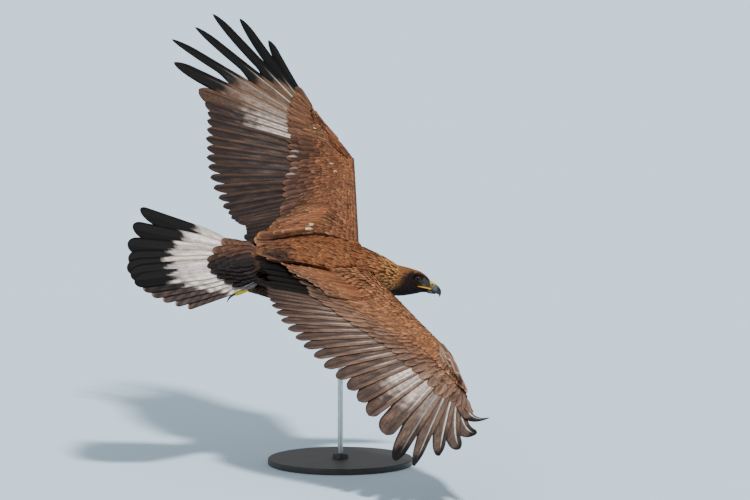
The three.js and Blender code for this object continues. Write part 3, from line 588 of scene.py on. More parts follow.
def wing_core(wing):
    k = np.concatenate([[-22.5, -20.5], np.linspace(-18, 10, 57)])[:, None]
    v = np.concatenate([[0.0], np.linspace(0.02, 1, 22) ** 1.3])
    reach = wing.reach(k)
    q = v * (reach + keyed(CORE_BACK, k) - 3) - reach
    k = k + 0 * q
    under_coat = WING_COAT * smooth(v * 12)
    top = wing.place(k, q, np.maximum(wing.flesh(k, q) - under_coat, 0.8))
    low = wing.place(k, q, -np.maximum(wing.flesh(k, q, False) - under_coat, 0.8))
    return np.concatenate([top, low[:, 1:][:, ::-1]], 1)


def skin_parts():
    turns = np.arange(36) * 10.0
    u, turn = grid(np.linspace(BODY_START, BODY_END, 60), turns)
    yield body_point(u, turn, -BODY_COAT + 4 * smooth((u - 150) / 60))
    x, turn = grid(np.linspace(HEAD_START, HEAD_END, 40), turns)
    yield head_point(x, turn, -HEAD_COAT)
    yield from (brow(side) for side, _ in SIDES)
    yield from (wing_core(wing) for wing in WINGS.values())
    t, turn = grid(np.linspace(0, 1, 30), turns)
    yield from (leg_point(t, turn, -LEG_COAT + 4 * smooth(t * 2 - 0.6), side) for side, _ in SIDES)
    yield tail_block()


def build_skin():
    points, faces = joined([loft(rings) for rings in skin_parts()])
    piece = new_object("skin", to_world(points), faces, "brown_feathers", SKIN)
    remesh = piece.modifiers.new("one", "REMESH")
    remesh.mode = "VOXEL"
    remesh.voxel_size = VOXEL
    relax = piece.modifiers.new("relax", "SMOOTH")
    relax.iterations = 4
    relax.factor = 0.5
    bpy.context.view_layer.update()
    made = bpy.data.meshes.new_from_object(piece.evaluated_get(bpy.context.evaluated_depsgraph_get()))
    piece.modifiers.clear()
    piece.data = made
    made.shade_smooth()
    return piece


skin = build_skin()
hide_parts("torso", "neck", "head", "leg_left", "leg_right")

# Placing feathers on the skin

skin_tree = BVHTree.FromObject(skin, bpy.context.evaluated_depsgraph_get())


def settle(line, out):
    """Feathers' lines (n, m, 3) put on the skin, out by millimetres; their normals and how far they went."""
    flat = to_world(line.reshape(-1, 3))
    near, normals, far = np.empty_like(flat), np.empty_like(flat), np.empty(len(flat))
    for i, p in enumerate(flat):
        near[i], normals[i], _, far[i] = skin_tree.find_nearest(Vector(p))
    near = ((near * 1000 - bird_at) @ bird_turn).reshape(line.shape)
    normals = (normals @ bird_turn).reshape(line.shape)
    even = unit(normals + normals.mean(1, keepdims=True) * 2)
    return near + even * out[..., None], even, far.reshape(line.shape[:2]) * 1000


def quincunx(rows, count, start, end, jitter=0.25):
    """Staggered rows of roots: count(u) roots on each row from start to end (degrees or shares)."""
    us, vs = [], []
    for row, u in enumerate(rows):
        n = max(3, int(round(float(count(u)))))
        step = (end - start) / n
        v = start + step * (np.arange(n) + 0.25 + 0.5 * (row % 2))
        us.append(np.full(n, u, float) + rng.uniform(-1, 1, n) * jitter * abs(rows[1] - rows[0]))
        vs.append(v + rng.uniform(-1, 1, n) * jitter * step)
    return np.concatenate(us), np.concatenate(vs)


def varied(colour, n, spread=0.13, warm=0.05):
    """n copies of a colour, each a little lighter or darker, warmer or cooler."""
    light = np.exp(rng.normal(0, spread, (n, 1)))
    tint = 1 + rng.normal(0, warm, (n, 1)) * np.array([1.0, 0, -1])
    return np.asarray(colour) * light * tint


def vary(seed):
    return np.sin(seed * 12.9898 + 4.1) * 0.7 + np.sin(seed * 78.233) * 0.3


def leaf(s, point, quill=0.3, tip=0.45):
    """Share of the full width at s: grows from the root and closes round, or to a point."""
    grow = 0.3 + 0.7 * smooth(s / quill)
    end = np.sqrt(clip(1 - (clip(s - 1 + tip) / tip) ** 2))
    sharp = clip((1 - s) / 0.75) ** 0.8
    return grow * np.maximum(0.03, end * (1 - point) + sharp * point)


def round_tip(s, quill, tip, least=0.03, point=0.5):
    """The same for long vanes; a higher point makes a sharper tip."""
    grow = 0.16 + 0.84 * smooth(s / quill)
    end = clip(1 - (clip(s - 1 + tip) / tip) ** 2) ** point
    return grow * (least + (1 - least) * end)


def rimmed(base, edge, start, power, sides, strength, dark, width):
    """Colours of feathers with a paler rim from start to the tip and along the sides, and a darker shaft."""
    def colour(s, x):
        rim = clip(smooth((s - start) / (1 - start)) + np.abs(x) ** power * sides) * strength
        return mix(base[:, None, None], edge[:, None, None], rim) * (1 - dark * bell(x, width))[..., None]
    return colour


def contour(batch, line, normal, half, spots, base, edge, thick=0.45, point=0.0, shaft=0.7, fringe=0.55,
            arch=0.12, tilt=0.07, across=3, tipped=0.0):
    """Adds small feathers with a paler worn edge and a darker middle; base and edge are (n, 3).
    tipped draws the edge's tone together on the tip."""
    n, m = line.shape[:2]
    s = np.linspace(0, 1, m)
    ahead = unit(np.gradient(line, axis=1))
    side = unit(np.cross(ahead, normal))
    upward = np.cross(side, ahead)
    wide = half[:, None] * leaf(s, point)
    side = unit(side + upward * rng.normal(0, tilt, n)[:, None, None])

    def colour(s, x):
        rim = clip(smooth((s - 0.5) / 0.5) * 0.75 + np.abs(x) * 0.45)
        rim = (rim + (smooth((s - 0.55) / 0.25) * (1 - 0.6 * np.abs(x)) - rim) * tipped) * fringe
        dark = 1 - (1 - shaft) * (1 - np.abs(x)) * (1 - 0.4 * s)
        # painted shade: each feather darker towards its root, where the feathers lying over it shade it
        dark = dark * (0.55 + 0.45 * smooth(s * 1.7))
        return mix(base[:, None, None], edge[:, None, None], rim) * dark[..., None]

    full = np.full((n, m), thick) * (1 - 0.6 * s)
    batch.add(line, side, np.cross(side, ahead), wide, wide, full, wide * arch, colour, spots, across, s)


# Charts of the skin's unwrap: each region's rectangle as low corner and size

CHARTS = {
    "body": ((0.02, 0.02), (0.44, 0.3)),
    "head": ((0.5, 0.02), (0.2, 0.2)),
    "legleft": ((0.74, 0.02), (0.1, 0.2)),
    "legright": ((0.86, 0.02), (0.1, 0.2)),
    "topleft": ((0.02, 0.36), (0.46, 0.18)),
    "topright": ((0.52, 0.36), (0.46, 0.18)),
    "lowleft": ((0.02, 0.58), (0.46, 0.18)),
    "lowright": ((0.52, 0.58), (0.46, 0.18)),
    "tail": ((0.02, 0.8), (0.3, 0.16)),
}
SPAN_START, SPAN_LONG = -23, 33  # the stretch of a wing that its chart shows
TRUNK_START, TRUNK_LONG = -240, 486  # the same of the body, in millimetres


def spot(chart, a, b):
    (x, y), (w, h) = CHARTS[chart]
    return np.stack([x + w * clip(a), y + h * clip(b)], -1)


def wing_spot(wing, k, back, under=False):
    return spot(("low" if under else "top") + wing.name, (k - SPAN_START) / SPAN_LONG, back)


def turn_spot(chart, a, turn):
    return spot(chart, a, (turn + 180) / 360)


def body_spot(u, turn):
    return turn_spot("body", (u - TRUNK_START) / TRUNK_LONG, turn)


# Flight feathers

REMEX_STATIONS = np.concatenate([np.linspace(0, 0.8, 26), np.linspace(0.82, 1, 14)])
INNER_VANE = [(-18, 27), (-12, 21), (-6, 27), (0, 31), (2.5, 36), (3.5, 44), (4.5, 43), (5.5, 37), (10, 29)]
OUTER_VANE = [(-18, 16), (-12, 12), (-6, 14), (0, 14), (5, 15), (10, 11)]
LEFT_NOTCH = [(4, 0.6), (6, 0.5), (8.5, 0.3), (9.5, 0.2)]  # where the finger feathers narrow
RIGHT_NOTCH = [(4, 0.6), (6, 0.5), (9.5, 0.36)]
LEFT_DARK = [(3, 0.8), (4.5, 0.63), (5.5, 0.535), (6.5, 0.45), (7.5, 0.35), (8.5, 0.27), (9.5, 0.22)]
RIGHT_DARK = [(3, 0.97), (4.5, 0.8), (5.5, 0.82), (7, 0.86), (8.5, 0.8), (9.5, 0.55)]
LEFT_WHITE = [(0.5, 0), (1.5, 1), (2.5, 0.9), (3.5, 0.6), (4.5, 0.3), (5.5, 0.1), (6.5, 0)]
RIGHT_WHITE = [(0.5, 0.05), (1.5, 1), (2.5, 0.7), (3.5, 0.8), (4.5, 0.2), (5.5, 0)]


def remex_width(k, s, left):
    """Half widths of the inner and outer vane; the raised wing's fingers are seen slimmer."""
    finger = smooth((k - 3.5) / 2)
    notch = keyed(LEFT_NOTCH if left else RIGHT_NOTCH, k)
    cut = finger * smooth((s - notch) / 0.16)
    slim = 0.45 if left else 0.12
    wide = keyed(INNER_VANE, k) * round_tip(s, 0.2, 0.18 + 0.26 * finger, 0, 0.62) * (1 - slim * cut)
    narrow = keyed(OUTER_VANE, k) * round_tip(s, 0.2, 0.05 + 0.1 * finger, 0, 0.7) * (1 - 0.1 * cut)
    return np.maximum(wide, 0.4), np.maximum(narrow, 0.4)


def arm_colour(k, s, x, left, warm, cool, own, blotch):
    """The ground of a flight feather: dark with warm stripes, barred and worn."""
    bars = smooth(0.5 + 0.9 * np.sin(s * 44 + k * 2.1 + np.abs(x) * 3 + np.sin(k * 5) * 2))
    stripe = (0.4 + 0.45 * own) * (1 - 0.5 * smooth((-k - 5) / 3)) if left else 0.75 + 0.25 * own
    colour = mix(cool, warm, smooth((x + 0.05) / 0.75) * stripe * (0.5 + 0.5 * blotch))
    if left:
        # painted sheen: grey streaks on the left wing's upper secondaries stand for light glancing off them
        grey = bell(x + 0.35, 0.3) * smooth((k + 7) / 3) * smooth((0.9 - s) / 0.4)
        colour = mix(colour, tone(104, 100, 98), 0.45 * grey * (0.3 + 0.7 * blotch))
    colour = mix(colour, warm, smooth((-0.06 - x) / 0.3) * (0.25 if left else 0.55) * blotch)
    colour = mix(colour, cool * 0.8, smooth((s - 0.72) / 0.28) * (0.35 if left else 0.6))
    colour = colour * (1 - 0.28 * bars * (1 - 0.6 * s) * smooth((0.9 - x) / 1.2))[..., None]
    return mix(colour, tone(128, 98, 78), smooth((np.abs(x) - 0.75) / 0.25) * (0.35 if left else 0.25))


def white_share(k, s, x, left, blotch):
    """How white a primary's base is: a ragged, flecked patch."""
    edge = keyed([(-1.5, 0.36), (0.5, 0.46), (2.5, 0.5), (3.6, 0.44), (5, 0.38)], k)
    ragged = 0.05 * np.sin(x * 9 + k * 4) + 0.04 * np.sin(s * 60 + k)
    white = (1 - smooth((s - edge + ragged) / 0.26)) * clip(keyed(LEFT_WHITE if left else RIGHT_WHITE, k))
    fleck = smooth(0.5 + 1.4 * np.sin(s * 83 + x * 6 + k * 3)) * (0.5 + 0.5 * blotch)
    vane = 0.12 + 0.88 * smooth((0.6 - x) / 0.4) * smooth((0.35 + np.abs(x + 0.06)) / 0.55)
    return white * vane * (1 - 0.5 * fleck)


def remex_colour(k, s, x, left):
    """Markings of a flight feather: k (n, 1, 1), s along it and x across, -1 on its inner vane."""
    own = 0.5 + 0.5 * np.sin(k * 7.3)
    blotch = 0.5 + 0.25 * np.sin(s * 19 + k * 9 + x * 2) + 0.25 * np.sin(s * 31 - k * 4 + x * 5)
    warm = tone(110, 82, 66) if left else tone(132, 106, 90)
    cool = tone(36, 30, 30) if left else tone(66, 54, 50)
    colour = arm_colour(k, s, x, left, warm, cool, own, blotch)
    hand = smooth((k - 2.8) / 1.4)
    tan = tone(122, 92, 70) if left else tone(110, 92, 82)
    colour = mix(colour, tan, hand * (0.55 if left else 0.5) * (1 - 0.5 * blotch))
    fine = 0.25 * np.sin(s * 140 + k * 3 + np.abs(x) * 9) * smooth((s - 0.5) / 0.2) * hand
    colour = colour * (1 + fine)[..., None]
    start = keyed(LEFT_DARK if left else RIGHT_DARK, k)
    dark = smooth((s - start + 0.02 * np.sin(x * 7 + k)) / (0.05 if left else 0.09)) * smooth((k - 3.4) / 1.2)
    colour = mix(colour, BLACK, dark)
    if not left:
        colour = mix(colour, BLACK * 1.6, hand * smooth((x + 0.22) / 0.2) * smooth((s - 0.5) / 0.2) * 0.75)
        # painted highlight: a pale gloss along the shaft of the right wing's secondaries
        gleam = bell(x - 0.16, 0.16) * smooth((s - 0.34) / 0.08) * (1 - smooth((s - 0.5) / 0.3))
        gleam = gleam * smooth((k + 13) / 5) * (1 - hand) * (0.5 + 0.3 * own)
        colour = mix(colour, tone(210, 188, 176), gleam)
    white = tone(226, 208, 196, 1) if left else tone(244, 226, 212, 1)
    colour = mix(colour, white, white_share(k, s, x, left, blotch) * 0.95)
    # painted shade: the right wing darkened towards the body, and the innermost feathers of both wings
    # darkened most, where the body and scapulars shade them
    if not left:
        colour = colour * (1 - 0.3 * smooth((-k - 5) / 5))[..., None]
    shade = smooth((-k - (13 if left else 12)) / 1.5)
    colour = mix(colour, BLACK if left else BLACK * 0.6, shade * (0.35 if left else 0.96))
    strength, far = (0.55, start) if left else (0.95, 0.75)
    pale = smooth((k - 2.6) / 3) * strength * (1 - smooth((s - far) / 0.2))
    pale = pale * keyed([(3, 0.35), (5.5, 0.7), (6.5, 1), (10, 1)], k)
    shaft = mix(cool * 0.6, tone(240, 230, 218, 1), pale)
    return mix(colour, shaft, bell(x, 0.07) * (0.55 + 0.45 * pale))


def remiges(wing, batch):
    k = np.arange(INNERMOST + 0.5, HAND_END)
    s = REMEX_STATIONS
    long = keyed(REMEX_LENGTH, k) * (1 + 0.012 * vary(k)) + 18 * bell(k + 15, 1.4)
    q = 6 + (long[:, None] - 6) * s
    h = 0 * q - STACK * np.maximum(0, k - 5.5)[:, None]
    line, side, normal = wing.axes(k, q, h, shingle(k))
    kk = k[:, None] + 0 * q
    inner, outer = remex_width(kk, s, wing.left)
    thick = np.where(kk > 0, 0.9, 0.65) * (1 - 0.55 * s)
    batch.add(line, side, normal, inner, outer, thick, (inner + outer) * 0.03,
              lambda s, x: remex_colour(k[:, None, None], s, x, wing.left),
              wing_spot(wing, k, 0 * k + 0.9), 11, s, 1.1)


# Wing coverts


def covert_row(wing, batch, k, q0, q1, h0, h1, half, base, edge, m=12, across=5, under=False, fringe=0.34,
               uneven_by=0.06, glint=None):
    """One row of coverts over (or under) the flight feathers; q0 to half are numbers or, like k, (n,)."""
    n = len(k)
    full = np.ones(n)
    q0, q1, h0, h1, half = (np.asarray(v) * full for v in (q0, q1, h0, h1, half))
    q1 = q1 * (1 + rng.normal(0, uneven_by, n))
    half = half * (1 + rng.normal(0, 0.06, n))
    s = np.concatenate([np.linspace(0, 0.7, m - 5), [0.79, 0.87, 0.935, 0.98, 1]])
    q = q0[:, None] + (q1 - q0)[:, None] * s
    h = h0[:, None] + (h1 - h0)[:, None] * s
    stack = STACK * np.maximum(0, k - 5.5)[:, None]
    h = -h - stack if under else h - stack
    line, side, normal = wing.axes(k, q, h, shingle(k) + rng.normal(0, 1.2, n), under)
    inner, outer = (half[:, None] * round_tip(s, 0.35, tip) for tip in (0.44, 0.22))

    def colour(s, x):
        rim = clip(smooth((s - 0.84) / 0.16) + np.abs(x) ** 3 * 0.7 * smooth(s * 3 - 1)) * fringe
        c = mix(base[:, None, None], edge[:, None, None], rim)
        # painted shade: the inner vane darker, most towards the root, under the edge of the next feather
        # inward
        c = c * (1 - 0.3 * smooth((-x - 0.05) / 0.3) * (1 - 0.4 * s))[..., None]
        c = c * (1 - 0.4 * bell(x, 0.16))[..., None]
        if glint is None:
            return c
        # painted highlight: a pale dash near the tip of the outer vane
        gleam = bell(s - 0.9, 0.06) * bell(x - 0.62, 0.16) * glint[:, None, None]
        return mix(c, tone(232, 214, 200, 1), gleam)

    batch.add(line, side, normal, inner, outer, (0.6 - 0.3 * s) * full[:, None], (inner + outer) * 0.04,
              colour, wing_spot(wing, k, (q0 + 90) / 180, under), across, s, 0.8)


def covert_tone(wing, k, row):
    """Base tone of the coverts by place on the wing; rows go from greater (0) to lesser (1)."""
    left = wing.left
    greater = tone(74, 52, 44) if left else tone(110, 84, 71)
    lesser = tone(112, 70, 50) if left else tone(142, 97, 71)
    base = mix(greater, lesser, np.full(len(k), row))
    base = mix(base, tone(112, 80, 60) if left else tone(124, 100, 86), smooth((k - 0.5) / 2) * 0.6)
    # painted shade: the greater coverts near the body darkened, most on the right wing, where the body and
    # scapulars shade them
    base = mix(base, tone(48, 37, 34), smooth((-k - 11) / 3) * (1 - row) * (0.4 if left else 0.8))
    return varied(base, len(k), 0.24)


def wing_coverts(wing, batch):
    worn = tone(130, 98, 78) if wing.left else tone(160, 130, 108)
    k = np.arange(-17.5, 9.6)
    # painted highlights on some greater coverts' tips, stronger on the left wing
    pale = smooth((k + 7) / 2) * (1 - smooth(k + 1.2)) * (0.9 if wing.left else 0.3)
    pale = pale * rng.uniform(0, 1, len(k))
    rows = (  # places, root, ends, heights, half widths, how lesser, edge
        (k, 10, [(-18, 118), (-12, 160), (-8, 164), (-4, 148), (0, 146), (3, 146), (6, 142), (9.5, 140)],
         (5.6, 3.2), [(-18, 22), (-12, 18), (0, 18.5), (9.5, 13)], 0, worn,
         {"m": 16, "across": 7, "uneven_by": 0.03, "glint": pale}),
        (np.arange(-17.5, 7.6, 0.9) + 0.13, 4, [(-18, 100), (-8, 118), (0, 114), (7, 104)], (7.6, 5.2),
         [(-18, 20), (0, 16.5), (8, 12)], 0.2, worn, {}),
        (np.arange(-17.3, 6.6, 0.8), 0, [(-18, 88), (-8, 96), (0, 90), (7, 78)], (9.6, 7.2),
         [(-18, 17), (0, 14.5), (8, 11)], 0.45, worn, {}),
        (np.arange(-17.4, 6.1, 0.7), -4, [(-18, 78), (-8, 78), (0, 70), (7, 60)], (11.4, 9.2),
         [(-18, 15), (0, 13), (8, 10)], 0.65, WORN, {"m": 10}),
        (np.arange(-17.4, 6.1, 0.6), -6, [(-18, 66), (-8, 60), (0, 52), (7, 46)], (13.0, 11.0),
         [(-18, 13), (0, 11.5), (8, 9)], 0.85, WORN, {"m": 10}),
    )
    for k, root, ends, heights, half, lesser, edge, more in rows:
        covert_row(wing, batch, k, root, keyed(ends, k), *heights, keyed(half, k),
                   covert_tone(wing, k, lesser), varied(edge, len(k), 0.2), **more)


def alula(wing, batch):
    """Feathers of the thumb and the coverts along the hand's front edge, the shorter ones on top."""
    rows = ((0.4, 5.8, 4, 16, 12, 0.2), (0.0, 4.6, -2, 9, 11, 1.0), (-0.3, 3.4, -8, 3, 10, 1.8),
            (-0.8, 2.2, -12, -3, 9, 2.4), (4.6, 8.8, 2, 10, 8, 0.4), (3.8, 7.6, -3, 5, 8, 1.0),
            (3.0, 6.4, -7, 1, 8, 1.6), (6.4, 9.8, 0, 6, 7, 0.6))
    s = np.linspace(0, 1, 14)
    for start, end, front, back, half, over in rows:
        k = (start + (end - start) * s)[None]
        q = (front + (back - front) * s)[None] + (4 if wing.left else 9)
        line = wing.place(k, q, np.maximum(wing.flesh(k, q), 9 * (1 - s)) + over + 1.0)
        ahead = unit(np.gradient(line, axis=1))
        side = unit(np.cross(ahead, wing.up(k)))
        wide = half * round_tip(s, 0.3, 0.3)[None]
        base = varied(tone(108, 69, 50) if wing.left else tone(112, 82, 66), 1, 0.25)
        edge = varied(tone(128, 86, 64) if wing.left else tone(214, 188, 168), 1, 0.1)
        batch.add(line, side, np.cross(side, ahead), wide, wide, 0.7 * (1 - 0.5 * s[None]), wide * 0.12,
                  rimmed(base, edge, 0.86, 4, 0.8, 0.9, 0.35, 0.15),
                  wing_spot(wing, np.array([start]), np.array([0.1])), 7, s, 0.6)


def flecks(wing, batch):
    """Small pale feathers out of place: k, q and h of the tip, length and half width."""
    for k, q, h, long, half in ((-18.2, 22, 19, 20, 6), (-17.7, 30, 19, 26, 6.5), (-17.2, 27, 19, 18, 5.5),
                                (4.3, 58, 12.4, 12, 3), (-2.8, 41, 14.4, 13, 3), (-4.6, 29, 14.8, 12, 3)):
        base, edge = varied(CREAM, 1), varied(WHITE, 1)
        covert_row(wing, batch, np.array([k]), q - long, q, h, h - 0.6, half, base, edge, m=8)


def scapulars(wing, batch):
    dim = tone(92, 62, 48) if wing.left else tone(84, 60, 50)
    bright = tone(124, 80, 58) if wing.left else tone(122, 78, 56)
    rows = ((150, 12.6), (136, 13.4), (122, 14.2), (108, 14.9), (94, 15.5), (80, 16.1), (66, 16.6), (54, 17))
    for j, (end, high) in enumerate(rows):
        k = np.arange(-21.6 + 0.27 * (j % 2), -13.0 - 0.15 * j, 0.55)
        n = len(k)
        ends = end * (1 - 0.07 * (np.maximum(k, -19) + 18))
        base = varied(mix(dim, bright, np.full(n, (j / 7) ** 0.7)), n, 0.22)
        covert_row(wing, batch, k, ends - 72, ends, high, high - 1.4, 14.5 - 0.8 * j, base,
                   varied(WORN, n, 0.2), m=11, fringe=0.6)


def lesser_tones(wing, k, share):
    """Base and edge tones of the lesser coverts above."""
    n = len(k)
    dim = tone(92, 58, 44) if wing.left else tone(132, 89, 66)
    bright = tone(118, 73, 53) if wing.left else tone(160, 109, 80)
    base = mix(dim, bright, np.full(n, 0.25 + 0.75 * smooth((0.55 - share) / 0.5)))
    base = mix(base, tone(118, 96, 84), smooth((k - 1) / 2) * (0.2 if wing.left else 0.6))
    patches = 1 + 0.13 * np.sin(k * 1.9 + share * 11) * np.sin(k * 0.7 - share * 17)
    return varied(base, n, 0.4) * patches[:, None], varied(WORN, n, 0.2)


def lesser_coverts(wing, batch, under=False):
    """Small scale-like feathers on the wing's flesh, smallest along its front edge."""
    shares = (0.02, 0.07, 0.12, 0.18, 0.24, 0.31, 0.38, 0.45, 0.52, 0.6, 0.68)
    if under:
        shares = (0.02, 0.07, 0.13, 0.19, 0.26, 0.33, 0.41, 0.5, 0.59, 0.68, 0.78)
    for row, share in enumerate(shares):
        step = keyed([(0, 0.26), (0.3, 0.42), (0.8, 0.6)], share)
        k = np.arange((-18 if under else -22.3) + step * 0.5 * (row % 2), 9.6 if under else 8.4, step)
        k = k + rng.uniform(-0.12, 0.12, len(k)) * step
        n = len(k)
        s = np.linspace(0, 1, 6)
        long = keyed([(0, 13), (0.15, 20), (0.5, 34), (0.8, 44)], share) * (1 + 0.08 * rng.normal(size=n))
        long = long * keyed([(-18, 1), (3, 0.95), (10, 0.6)], k)
        reach = wing.reach(k)
        q0 = share * (reach + keyed(CORE_BACK, k)) - reach + 2.6 * rng.uniform(-1, 1, n) * smooth(share * 12)
        q = q0[:, None] + long[:, None] * s
        kk = k[:, None] + 0 * q
        inside = wing.flesh(kk, q, not under) - WING_COAT * smooth((q + reach[:, None]) / 12)
        h = np.maximum(inside + 0.2 + 3.4 * s, (5.0 if under else 12.6) * (q > 0) * smooth(s * 2))
        line = wing.place(kk, q, -h if under else h)
        ahead = unit(np.gradient(line, axis=1))
        across = wing.place(kk + 0.5, q, 0 * h) - wing.place(kk - 0.5, q, 0 * h)
        normal = unit(np.cross(across, ahead) * wing.side) * (-1 if under else 1)
        half = step * 27 * keyed([(0, 0.6), (0.8, 0.62)], share) * np.ones(n)
        if under:
            base, edge = varied(tone(92, 60, 44), n, 0.2), varied(tone(150, 106, 78), n)
        else:
            base, edge = lesser_tones(wing, k, share)
        spots = wing_spot(wing, k, np.full(n, share), under)
        contour(batch, line, normal, half, spots, base, edge, fringe=0.5, shaft=0.5)


def under_coverts(wing, batch):
    for k, root, ends, heights, half, base, edge in (
        (np.arange(-17.5, 9.6), 8, [(-18, 100), (-8, 130), (0, 126), (9.5, 150)], (3.4, 2.6),
         [(-18, 19), (0, 17), (9.5, 11)], tone(128, 116, 108), WHITE * 0.8),
        (np.arange(-17.3, 8.6, 0.8), 2, [(-18, 76), (0, 84), (9, 90)], (5.2, 4.2),
         [(-18, 16), (0, 14), (9, 9)], tone(96, 72, 58), WORN * 0.8),
    ):
        covert_row(wing, batch, k, root, keyed(ends, k), *heights, keyed(half, k), varied(base, len(k)),
                   varied(edge, len(k)), under=True)


for wing in WINGS.values():
    flight, over, below = Batch(), Batch(), Batch()
    remiges(wing, flight)
    piece = flight.build("flight_feathers_" + wing.name, VANE, "brown_feathers")
    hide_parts("wing_" + wing.name)
    wing_coverts(wing, over)
    alula(wing, over)
    scapulars(wing, over)
    lesser_coverts(wing, over)
    if wing.left:
        flecks(wing, over)
    over.build("wing_coverts_" + wing.name, VANE, "brown_feathers")
    under_coverts(wing, below)
    lesser_coverts(wing, below, under=True)
    below.build("under_coverts_" + wing.name, VANE, "brown_feathers")

# Tail


def tail_row(count, fan, start, end, rise, step, half, quill, tip, colour, m=14, across=5, under=False,
             camber=0.06, ridge=1.0):
    """One row of the tail; end is keyed by place in the fan, rise is the height at root and tip."""
    i = np.arange(count)
    share = ((i + 0.5) / count) * 2 - 1
    middle = keyed(TAIL_AZIMUTH, 0)
    a = np.radians(middle + (keyed(TAIL_AZIMUTH, share) - middle) * fan)
    order = i - (count - 1) // 2
    tilt = np.radians(SHINGLE) * np.sign(order) * (-1 if under else 1)
    sunk = 1.1 * np.abs(order) if under else step * np.where(order < 0, 1 - order, order)
    end = keyed(end, share) * (1 + 0.02 * vary(i + half))
    close = max(6, m // 3)
    s = np.concatenate([np.linspace(0, 0.8, m - close), 1 - 0.17 * np.linspace(1, 0, close) ** 1.7])
    far = start + (end[:, None] - start) * s
    height = rise[0] + (rise[1] - rise[0]) * s - sunk[:, None]
    aside = TAIL_HALF * share[:, None] + np.sin(a)[:, None] * far
    line = np.stack([-np.cos(a)[:, None] * far, aside, height], -1)
    outward = np.stack([-np.sin(a), np.cos(a), 0 * a], -1)
    upward = np.array([0, 0, 1.0])
    side = outward * np.cos(tilt)[:, None] + upward * np.sin(tilt)[:, None]
    normal = (upward * np.cos(tilt)[:, None] - outward * np.sin(tilt)[:, None]) * (-1 if under else 1)
    side, normal = (np.broadcast_to((v @ tail_turn.T)[:, None], line.shape) for v in (side, normal))
    wide, thick = (v * np.ones((count, 1)) for v in (half * round_tip(s, quill, tip), 0.7 - 0.35 * s))
    tail.add(from_tail(line), side, normal, wide, wide, thick, wide * camber, colour(share),
             spot("tail", (share + 1) / 2, np.full(count, start / 40)), across, s, ridge)


def rectrix_colour(share):
    """White at the base with dark flecks, black towards the end, browner and worn on the right."""
    at = share[:, None, None]
    start = keyed([(-1, 0.34), (-0.6, 0.46), (-0.25, 0.62), (0.2, 0.66), (0.6, 0.59), (1, 0.42)], at)
    worn = smooth((-at - 0.1) / 0.4)

    def colour(s, x):
        wave = 0.025 * np.sin(x * 6 + at * 31) + 0.02 * np.sin(x * 23 + at * 50)
        band = smooth((s - start + wave) / 0.045)
        fleck = smooth(0.5 + 1.5 * np.sin(s * 64 + np.abs(x) * 5 + at * 30)) * smooth((0.6 - x) / 0.5)
        speck = smooth(1.8 * np.sin(s * 911 + x * 377 + at * 55) - 0.9)
        cloud = smooth(0.5 + np.sin(x * 4 + at * 17 + s * 6)) * smooth((at + 0.2) / 0.6 + 0.5)
        # painted light and shade: each feather greyer along its lower side, warmer and whiter along its upper
        # edge
        upper = x * np.sign(at)
        base = mix(tone(236, 222, 212, 1), tone(150, 146, 147), 0.55 * smooth((0.2 - upper) / 0.9))
        base = mix(base, tone(246, 226, 206, 1), 0.6 * smooth((upper - 0.3) / 0.6))
        base = mix(base, tone(92, 84, 82), 0.6 * speck * smooth((s - start + 0.4) / 0.3))
        base = mix(base, tone(124, 116, 114), 0.7 * fleck * smooth((s - start + 0.3) / 0.3))
        base = mix(base, tone(150, 144, 142), 0.6 * cloud)
        base = mix(base, tone(104, 90, 82), smooth((-at - 0.55) / 0.3) * smooth((x + 0.1) / 0.5) * 0.7)
        brown = worn * (0.45 + 0.45 * smooth(0.5 + np.sin(s * 50 + x * 3 + at * 20)))
        c = mix(base, mix(BLACK, tone(80, 68, 63), brown), band)
        c = mix(c, tone(196, 160, 130), smooth((s - 0.965) / 0.03) * worn * 0.7)
        return mix(c, mix(tone(170, 158, 150, 1), BLACK * 2, band), bell(x, 0.07) * 0.5)

    return colour


def uppertail_colour(tint, share):
    """Blackish, and browner towards the fan's left edge."""
    n = len(share)
    left = smooth((share - 0.1) / 0.7)
    base = mix(varied(tint, n, 0.2), varied(tone(88, 62, 50), n), left)
    edge = mix(varied(tone(46, 38, 36), n, 0.25), varied(tone(132, 98, 78), n), left)
    return rimmed(base, edge, 0.86, 4, 0.5, 0.6, 0.3, 0.2)


def undertail_colour(share):
    n = len(share)
    base, edge = varied(tone(158, 153, 149), n), varied(tone(206, 200, 194), n)
    return rimmed(base, edge, 0.8, 3, 0.5, 0.55, 0.25, 0.2)


BAR = tone(25, 20, 20)
tail = Batch()
tail_row(12, 1, 14, RECTRIX_END, (2, 2), 1.1, 29, 0.42, 0.1, rectrix_colour, m=44, across=11, camber=0.03,
         ridge=0.7)
for count, fan, end, rise, tint in (
    (8, 0.88, [(-1, 92), (-0.35, 138), (0.1, 154), (0.5, 140), (1, 86)], (9.5, 7.2), BAR),
    (9, 0.84, [(-1, 80), (-0.3, 116), (0.1, 132), (0.5, 116), (1, 74)], (11.2, 8.9), BAR * 1.1),
    (8, 0.78, [(-1, 66), (-0.3, 100), (0.1, 112), (0.5, 94), (1, 60)], (13.2, 10.8), BAR * 1.3),
    (9, 0.72, [(-1, 52), (-0.3, 84), (0.1, 94), (0.5, 78), (1, 48)], (15.4, 12.8), BAR * 1.6),
    (9, 0.66, [(-1, 40), (-0.3, 66), (0.1, 74), (0.5, 62), (1, 36)], (17.4, 14.6), BAR * 1.9),
):
    tail_row(count, fan, 4, end, rise, 0.75, 20, 0.5, 0.42, lambda share: uppertail_colour(tint, share))
